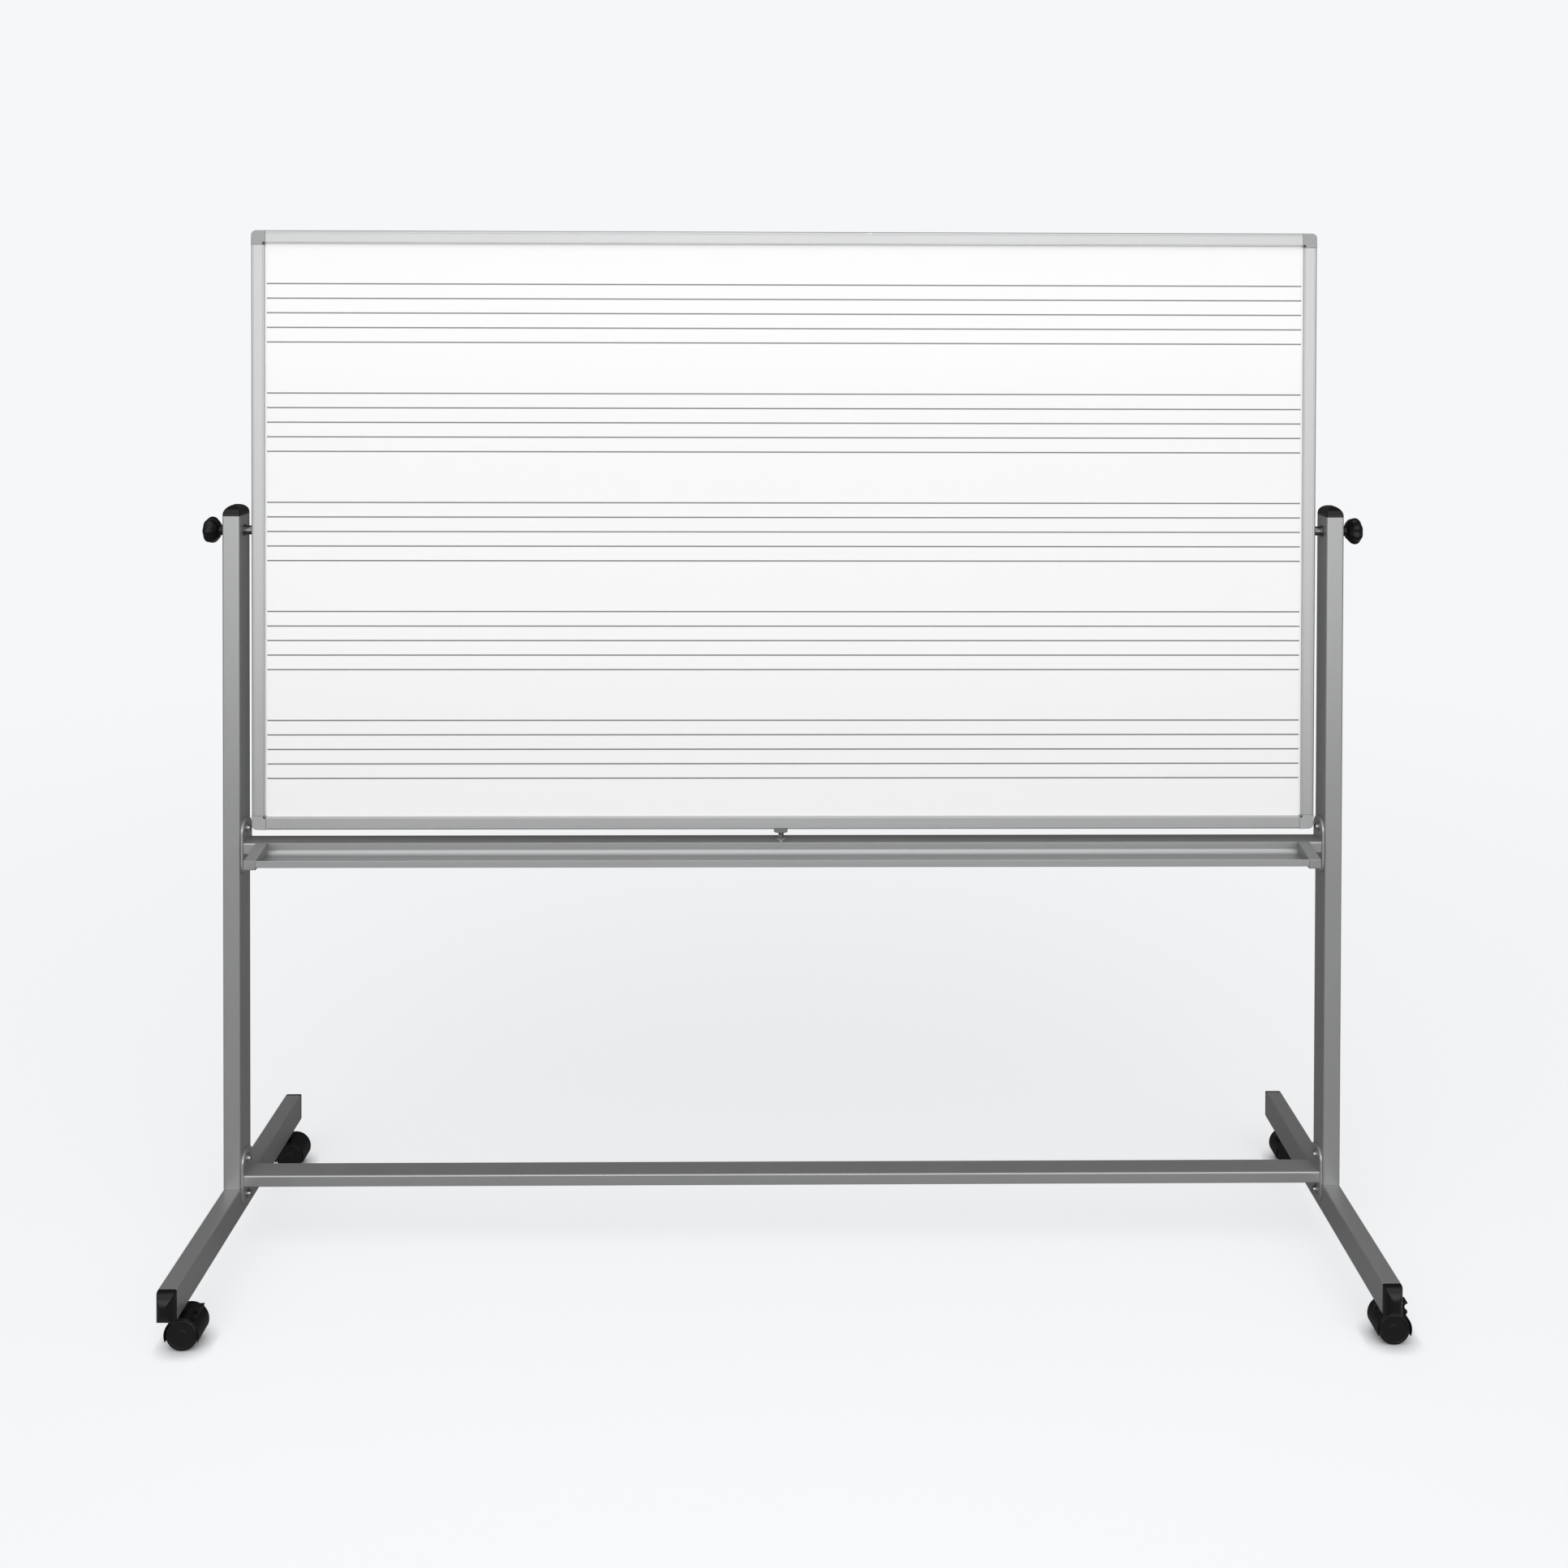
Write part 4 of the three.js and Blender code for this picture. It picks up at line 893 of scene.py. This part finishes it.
def anodised(name, stretch, dark, light, roughness):
    """Satin anodised aluminium, with die lines along the stretch's smallest number."""
    material, tree, shader = new_finish(name, Metallic=0.75)
    drawn = effect(tree, lines_group, Stretch=stretch)
    wear = effect(tree, wear_group, Scale=70.0, Spread=0.36).outputs["Mask"]
    lined = blend_colours(tree, drawn.outputs["Height"], dark, light)
    clouded = blend_colours(tree, spread(tree, drawn.outputs["Shade"], 0.0, 0.3), lined, dark)
    tree.links.new(blend_colours(tree, wear, clouded, (0.8, 0.8, 0.8, 1)), shader["Base Color"])
    lined_roughness = spread(tree, drawn.outputs["Height"], roughness - 0.07, roughness + 0.07)
    tree.links.new(lined_roughness, shader["Roughness"])
    raised(tree, shader, drawn.outputs["Height"], 0.012 * mm)
    return material


lines_along_x, lines_along_z = (3.0, 1600.0, 1600.0), (1600.0, 1600.0, 3.0)
tray_tones = (0.36, 0.363, 0.368, 1), (0.50, 0.503, 0.508, 1)
tray_finish = anodised("anodised_tray", lines_along_x, *tray_tones, 0.42)
tray_low, tray_high, _ = extent("marker_tray")
back, front = tray_high[1], tray_low[1]
bottom, top = tray_low[2], tray_high[2]
tray_section = rounded(
    [(back, bottom), (back, top), (back - tray_wall, top), (back - tray_wall, bottom + tray_wall),
     (front + tray_wall, bottom + tray_wall), (front + tray_wall, bottom + tray_lip),
     (front, bottom + tray_lip), (front, bottom)],
    np.array([0.4, 0.4, 0.4, tray_cove / mm, 0.6, 0.5, 0.5, 1.0]) * mm,
    steps=12,
)
cap_low, cap_high, _ = extent("tray_cap_right")
tray_end = cap_high[0] - cap_over_tray
piece("tray_extrusion", [slab(tray_section, -tray_end, tray_end, "x", 0.15 * mm)],
      [tray_finish], "stand", "tray_aluminium", "marker_tray")


# Tray ends
# Grey mouldings pushed over the ends of the tray. The top of each slopes down from the back to
# the front lip, and the lower corners are well rounded.
cap_rim = 0.9 * mm
cap_lip_rise = 1.3 * mm
cap_back_flat = 4 * mm
cap_front_flat = 6 * mm


def grey_moulding(name, dark, light):
    """Finish of the grey mouldings: a fine spark-eroded texture and soft shiny edges."""
    material, tree, shader = new_finish(name)
    grain = effect(tree, grain_group, Scale=1200.0, Blotches=18.0)
    wear = effect(tree, wear_group, Scale=120.0, Spread=0.4).outputs["Mask"]
    toned = blend_colours(tree, grain.outputs["Shade"], dark, light)
    tree.links.new(blend_colours(tree, wear, toned, scaled(light, 1.3)), shader["Base Color"])
    tree.links.new(spread(tree, grain.outputs["Shade"], 0.42, 0.54), shader["Roughness"])
    raised(tree, shader, grain.outputs["Height"], 0.03 * mm)
    return material


moulded_grey = grey_moulding("grey_moulding", (0.335, 0.338, 0.342, 1), (0.40, 0.403, 0.407, 1))
tray_grey = grey_moulding("mid_grey_moulding", (0.22, 0.222, 0.225, 1), (0.27, 0.272, 0.275, 1))
cap_back, cap_front = cap_high[1], cap_low[1]
cap_bottom, cap_top = cap_low[2], cap_high[2]
cap_lip = tray_low[2] + tray_lip + cap_lip_rise
cap_section = rounded(
    [(cap_back, cap_bottom), (cap_back, cap_top), (cap_back - cap_back_flat, cap_top),
     (cap_front + cap_front_flat, cap_lip), (cap_front, cap_lip), (cap_front, cap_bottom)],
    np.array([1.5, 1.0, 2.0, 5.0, 2.0, 3.0]) * mm,
)
for side, sign in (("left", -1), ("right", 1)):
    run = sorted((sign * cap_low[0], sign * cap_high[0]))
    piece(f"tray_end_{side}", [slab(cap_section, *run, "x", cap_rim)],
          [tray_grey], "stand", "grey_plastic", f"tray_cap_{side}")


# Catch clip
# A small grey moulding pushed into a hole in the upper crossbar. The striker under the board
# rides up its sloping ends and drops between them, which holds the board upright.
clip_gap = 0.1 * mm
clip_nose = 1.6 * mm
clip_side = 3 * mm
clip_back = 4 * mm
clip_low, clip_high, clip_middle = extent("catch_clip")
half_x, half_y, _ = (clip_high - clip_low) / 2
clip_seat = extent("upper_crossbar")[0][2] + plate_half_high + bar_half_high + clip_gap
kite = rounded(
    [(-clip_nose, -half_y), (clip_nose, -half_y), (half_x, -clip_side), (half_x, clip_side),
     (clip_back, half_y), (-clip_back, half_y), (-half_x, clip_side), (-half_x, -clip_side)],
    np.array([1.2, 1.2, 2.0, 2.0, 1.6, 1.6, 2.0, 2.0]) * mm,
)
clip = slab(kite, clip_seat, clip_high[2], "z", 0.7 * mm, origin=(*clip_middle[:2], 0))
piece("catch_clip_moulding", [clip], [moulded_grey], "stand", "grey_plastic", "catch_clip")


# Writing panel
# A fibreboard core with a sheet of white enamelled steel bonded to each face. Five music staves
# are printed across the front sheet in grey, five lines each, and fired under the gloss.
staff_count = 5
staff_lines = 5
staff_pitch = 25.4 * mm
staff_step = 190.5 * mm
top_line = 1687.0 * mm
line_width = 2.4 * mm
line_reach = 903 * mm
enamel_white = (0.93, 0.93, 0.93, 1)
line_grey = (0.195, 0.195, 0.2, 1)


def enamel(name, colour, roughness, faint):
    """Fired gloss enamel: a hard clear coat, a long soft orange peel and wiped-off ghosts."""
    material, tree, shader = new_finish(name, **{"Coat Weight": 0.35, "Coat Roughness": 0.08})
    grain = effect(tree, grain_group, Scale=140.0, Blotches=3.0)
    ghosted = blend_colours(
        tree, spread(tree, grain.outputs["Shade"], 0.0, 0.6), colour, scaled(colour, faint)
    )
    tree.links.new(ghosted, shader["Base Color"])
    gloss = spread(tree, grain.outputs["Shade"], roughness - 0.04, roughness + 0.08)
    tree.links.new(gloss, shader["Roughness"])
    raised(tree, shader, grain.outputs["Height"], 0.01 * mm)
    return material


white_enamel = enamel("white_enamel", enamel_white, 0.2, 0.985)
line_ink = enamel("staff_ink", line_grey, 0.3, 0.9)


def panel_sheet(node, ruled):
    """Steel sheet as rings round its own section, one ring at each printed line's edges, so each
    line is a strip of the sheet's face with its own finish."""
    low, high, _ = extent(node)
    staves = top_line - staff_step * np.arange(staff_count)[:, None]
    lines = staves - staff_pitch * np.arange(staff_lines)
    edges = np.sort(np.concatenate([lines - line_width / 2, lines + line_width / 2], None))
    height = np.concatenate([[low[2]], edges if ruled else [], [high[2]]])
    across = np.array([low[0], -line_reach, line_reach, high[0]])
    section = np.array([(x, low[1]) for x in across] + [(x, high[1]) for x in across[::-1]])
    rings = np.stack([at_height(section, h) for h in height])
    printed = np.zeros((len(height) - 1, len(section)), bool)
    if ruled:
        printed[1::2, 1] = True
    inked = np.concatenate([printed.ravel(), [False, False]])
    return skin(rings, 0.0), inked


for name, node, ruled in (
    ("ruled_steel_sheet", "front_sheet", True), ("plain_steel_sheet", "rear_sheet", False)
):
    sheet, inked = panel_sheet(node, ruled)
    piece(name, [sheet], [white_enamel, line_ink], "board", "writing_enamel", node, inked=inked)


def refinish(node, material):
    """Gives a CAD node that is shown as it is another finish."""
    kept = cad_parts[node].data.materials
    kept.clear()
    kept.append(material)


core_material, tree, shader = new_finish("raw_fibreboard", Roughness=0.85)
grain = effect(tree, grain_group, Scale=500.0, Blotches=40.0)
fibres = blend_colours(
    tree, grain.outputs["Height"], (0.32, 0.23, 0.14, 1), (0.5, 0.38, 0.25, 1)
)
tree.links.new(fibres, shader["Base Color"])
raised(tree, shader, grain.outputs["Height"], 0.15 * mm)
refinish("board_core", core_material)


# Edge rails
# Four lengths of aluminium extrusion, satin anodised, which grip the panel's edge in a channel.
# The face has a fine groove near the outer edge and a low lip along the inner one.
rail_overlap = 8 * mm
lip_width = 2 * mm
lip_drop = 0.7 * mm
groove_inset = 4.5 * mm
groove_width = 0.8 * mm
groove_depth = 0.5 * mm
channel_half = 6.3 * mm
channel_lead = 0.3 * mm
rail_round = 3 * mm
rail_rim = 0.15 * mm


def rail_section(out, half):
    """Rail's section: distance outwards from the panel's edge, and front to back."""
    inner = -rail_overlap
    groove = out - groove_inset
    side = [
        (inner, -channel_half), (inner, -half + lip_drop), (inner + lip_width, -half + lip_drop),
        (inner + lip_width, -half), (groove - groove_width, -half),
        (groove - groove_width, -half + groove_depth), (groove, -half + groove_depth),
        (groove, -half), (out, -half),
    ]
    radii = [0.2, 0.3, 0.5, 0.3, 0.3, 0.15, 0.12, 0.12, 0.15, rail_round / mm]
    corners = [(channel_lead, -channel_half)] + side
    corners += [(u, -y) for u, y in corners[::-1]]
    return rounded(corners, np.array(radii + radii[::-1]) * mm, steps=5)


def turn_outline(outline, quarter):
    """Turns an outline about the origin by a number of quarter turns."""
    points, worn = outline
    return points @ np.linalg.matrix_power(np.array([[0, 1], [-1, 0]]), quarter % 4), worn


panel_low, panel_high, _ = extent("board_core")
rails = {
    "top": ("x", 1, (0, 0, panel_high[2])), "bottom": ("x", -1, (0, 0, panel_low[2])),
    "right": ("z", 0, (panel_high[0], 0, 0)), "left": ("z", 2, (panel_low[0], 0, 0)),
}
rail_tones = (0.44, 0.443, 0.448, 1), (0.58, 0.583, 0.588, 1)
along_x = anodised("anodised_rail_across", lines_along_x, *rail_tones, 0.4)
along_z = anodised("anodised_rail_upright", lines_along_z, *rail_tones, 0.4)
for name, (axis, quarter, origin) in rails.items():
    node = f"rail_{name}"
    low, high, _ = extent(node)
    run, outwards = (0, 2) if axis == "x" else (2, 0)
    # A rail reaches further out from the panel's edge than it laps over it.
    out = max(high[outwards] - origin[outwards], origin[outwards] - low[outwards])
    outline = turn_outline(rail_section(out, (high[1] - low[1]) / 2), quarter)
    piece(f"{name}_edge_rail", [slab(outline, low[run], high[run], axis, rail_rim, origin=origin)],
          [along_x if axis == "x" else along_z], "board", "rail_aluminium", node)


# Corner caps
# Grey mouldings whose legs push into the ends of the rails. The outer corner is well rounded,
# and the rails' low lip runs on round the inner one.
corner_leg = 25 * mm
corner_round = 9 * mm
corner_inner_round = 2.5 * mm
leg_round = 0.4 * mm
corner_rim = 0.35 * mm
outer_rim = 2.4 * mm
rim_fade = 3 * mm
rim_inset = 4 * mm
lip_sunk = 2 * mm
lip_step = 1.2 * mm


def corner_cap(quarter, origin, out, half):
    """L-shaped cap and its thinner lip, drawn for the top right corner and turned. The lip's
    outer sides lie inside the cap, so that no two faces share a plane."""
    end = out - corner_leg
    radii = [leg_round, leg_round, corner_round, leg_round, leg_round, corner_inner_round]

    def outline(inner, sunk):
        near, far = end + 0.1 * sunk, out - sunk
        leg = [(inner, near), (far, near), (far, far)]
        return rounded(leg + [(near, far), (near, inner), (inner, inner)], radii, steps=10)

    body, lip = outline(-rail_overlap + lip_width, 0), outline(-rail_overlap, lip_sunk)
    inmost, outmost = body[0].min(1), body[0].max(1)
    outside = np.clip((inmost - end) / rim_fade, 0, 1)
    outside *= np.clip((outmost - out + rim_inset) / rim_fade, 0, 1)
    return [
        slab(turn_outline(shape, quarter), -thick, thick, "y", rim, origin=origin)
        for shape, rim, thick in (
            (body, corner_rim + outer_rim * outside, half), (lip, corner_rim, half - lip_step)
        )
    ]


corner_places = {
    "top_right": (0, panel_high[0], panel_high[2]),
    "top_left": (1, panel_low[0], panel_high[2]),
    "bottom_left": (2, panel_low[0], panel_low[2]),
    "bottom_right": (3, panel_high[0], panel_low[2]),
}
for name, (quarter, x, z) in corner_places.items():
    low, high, _ = extent(f"corner_{name}")
    out = high[0] - x if x > 0 else x - low[0]
    skins = corner_cap(quarter, (x, 0, z), out, (high[1] - low[1]) / 2)
    piece(f"corner_moulding_{name}", skins, [moulded_grey], "board", "grey_plastic",
          f"corner_{name}")


# Pivots
# A threaded block sits inside each side rail. A steel spacer, flanged where it meets the
# upright, keeps the board clear of the tube and takes the pull of the hand knob's bolt.
spacer_radius = 8 * mm
flange_radius = 10 * mm
flange_thickness = 2 * mm
bolt_radius = 5 * mm
bolt_play = 0.3 * mm
spacer_sides = 64
turned_steel, tree, shader = new_finish(
    "turned_steel", Base_Color=(0.17, 0.171, 0.174, 1), Metallic=1.0
)
wear = effect(tree, wear_group, Scale=300.0, Spread=0.45).outputs["Mask"]
tree.links.new(spread(tree, wear, 0.16, 0.3), shader["Roughness"])
for side, sign in (("left", -1), ("right", 1)):
    low, high, middle = extent(f"pivot_spacer_{side}")
    start, end = (low[0], high[0]) if sign > 0 else (-high[0], -low[0])
    hole, flange = bolt_radius + bolt_play, end - flange_thickness
    profile = [(hole, start), (spacer_radius, start), (spacer_radius, flange),
               (flange_radius, flange), (flange_radius, end), (hole, end)]
    radii = np.array([0.3, 0.6, 0.8, 0.4, 0.4, 0.3]) * mm
    rings, worn, closed = turned(profile, radii, spacer_sides)
    rings = lay(rings, "x") * (sign, sign, 1)
    piece(f"spacer_{side}", [skin(rings + (0, *middle[1:]), worn, closed)],
          [turned_steel], "board", "bolt_zinc", f"pivot_spacer_{side}")
    refinish(f"pivot_insert_{side}", zinc)


# Hand knobs
# Black mouldings on steel bolts. The domed head has seven shallow lobes for the fingers and
# draws in to a round neck, which bears on the upright when the knob is done up.
knob_radius = 24 * mm
knob_height = 28 * mm
neck_radius = 9 * mm
neck_length = 11 * mm
knob_lobes = 7
lobe_depth = 2.6 * mm
lobe_steps = 24
knob_wear = 0.3
pivot_level = extent("pivot_spacer_left")[2][2]
knob_plastic = black_moulding(
    "black_knob_plastic", (0.004, 0.004, 0.0044, 1), 0.3, (0.025, 0.025, 0.026, 1), 1500.0, 0.38
)


def hand_knob(node, sign):
    """Knob turned about its bolt. Outside the neck its radius drops between the lobes by the
    lobe depth times (1 - cos 7t) / 2, more towards the widest part."""
    low, high, middle = extent(node)
    crown = high[0] if sign > 0 else -low[0]
    tip = low[0] if sign > 0 else -high[0]
    base = crown - knob_height
    start = base - neck_length
    head = [(0.62, 0.1), (0.9, 0.32), (1, 0.52), (0.95, 0.72), (0.75, 0.9), (0.4, 0.98)]
    corners = [
        (0, tip), (bolt_radius, tip), (bolt_radius, start), (neck_radius, start),
        (neck_radius, base), *((r * knob_radius, base + h * knob_height) for r, h in head),
        (0, crown),
    ]
    radii = np.array([0.02, 0.6, 0.3, 0.6, 2.0, 5.0, 12.0, 12.0, 10.0, 12.0, 30.0, 0.02]) * mm

    def lobes(profile, angle):
        share = np.clip((profile[:, :1] - neck_radius) / (knob_radius - neck_radius), 0, 1)
        return lobe_depth * share * (0.5 - 0.5 * np.cos(knob_lobes * angle))

    rings, worn, closed = turned(corners, radii, lobe_steps * knob_lobes, lobes, steps=8)
    rings = lay(rings, "x") * (sign, sign, 1)
    return skin(rings + (0, middle[1], pivot_level), knob_wear * worn, closed)


for side, sign in (("left", -1), ("right", 1)):
    piece(f"lobed_knob_{side}", [hand_knob(f"knob_{side}", sign)],
          [knob_plastic], f"knob_{side}", "black_plastic", f"knob_{side}", crease=50)


# Striker
# A grey moulding under the middle of the bottom rail, held by a stud pressed into the rail. Its
# plate hugs the rail's edge, and its stem rides over the catch clip on the crossbar.
saddle_half = 12 * mm
saddle_foot_half = 9 * mm
saddle_half_deep = 12.6 * mm
saddle_drop = 5.3 * mm
saddle_side_drop = 2.1 * mm
saddle_gap = 0.3 * mm
ear_near, ear_far = 11.3 * mm, 12.8 * mm
ear_drop, ear_rise = 4 * mm, 2.5 * mm
stem_half, stem_half_deep = 4.3 * mm, 6 * mm
stem_root_half = 7 * mm
stem_gap = 0.4 * mm
striker_tones = (0.13, 0.131, 0.134, 1), (0.17, 0.171, 0.174, 1)
striker_grey = grey_moulding("dark_grey_moulding", *striker_tones)
striker_low, _, striker_middle = extent("catch_striker")
rail_under = extent("rail_bottom")[0][2]
saddle_under = rail_under - saddle_drop


def striker_part(right_side, radii, near, far, rim):
    """Solid whose outline's right side, from the bottom up, is repeated on the left."""
    mirrored = [(-x, z) for x, z in right_side[::-1]]
    radii = np.broadcast_to(radii, len(right_side)) * mm
    outline = rounded(right_side + mirrored, np.concatenate([radii, radii[::-1]]))
    return slab(outline, near, far, "y", rim, origin=(striker_middle[0], 0, 0))


saddle = [(saddle_foot_half, saddle_under), (saddle_half, rail_under - saddle_side_drop),
          (saddle_half, rail_under - saddle_gap)]
ear = [(saddle_half, rail_under - ear_drop), (saddle_half, rail_under + ear_rise)]
stem = [(stem_half, striker_low[2] + stem_gap), (stem_half, saddle_under - 2 * mm),
        (stem_root_half, saddle_under + 1 * mm)]
skins = [
    striker_part(saddle, 0.7, -saddle_half_deep, saddle_half_deep, 0.6 * mm),
    striker_part(ear, 0.7, -ear_far, -ear_near, 0.4 * mm),
    striker_part(ear, 0.7, ear_near, ear_far, 0.4 * mm),
    striker_part(stem, [1.2, 2.0, 0.4], -stem_half_deep, stem_half_deep, 1.6 * mm),
]
piece("striker_moulding", skins, [striker_grey], "board", "grey_plastic", "catch_striker")
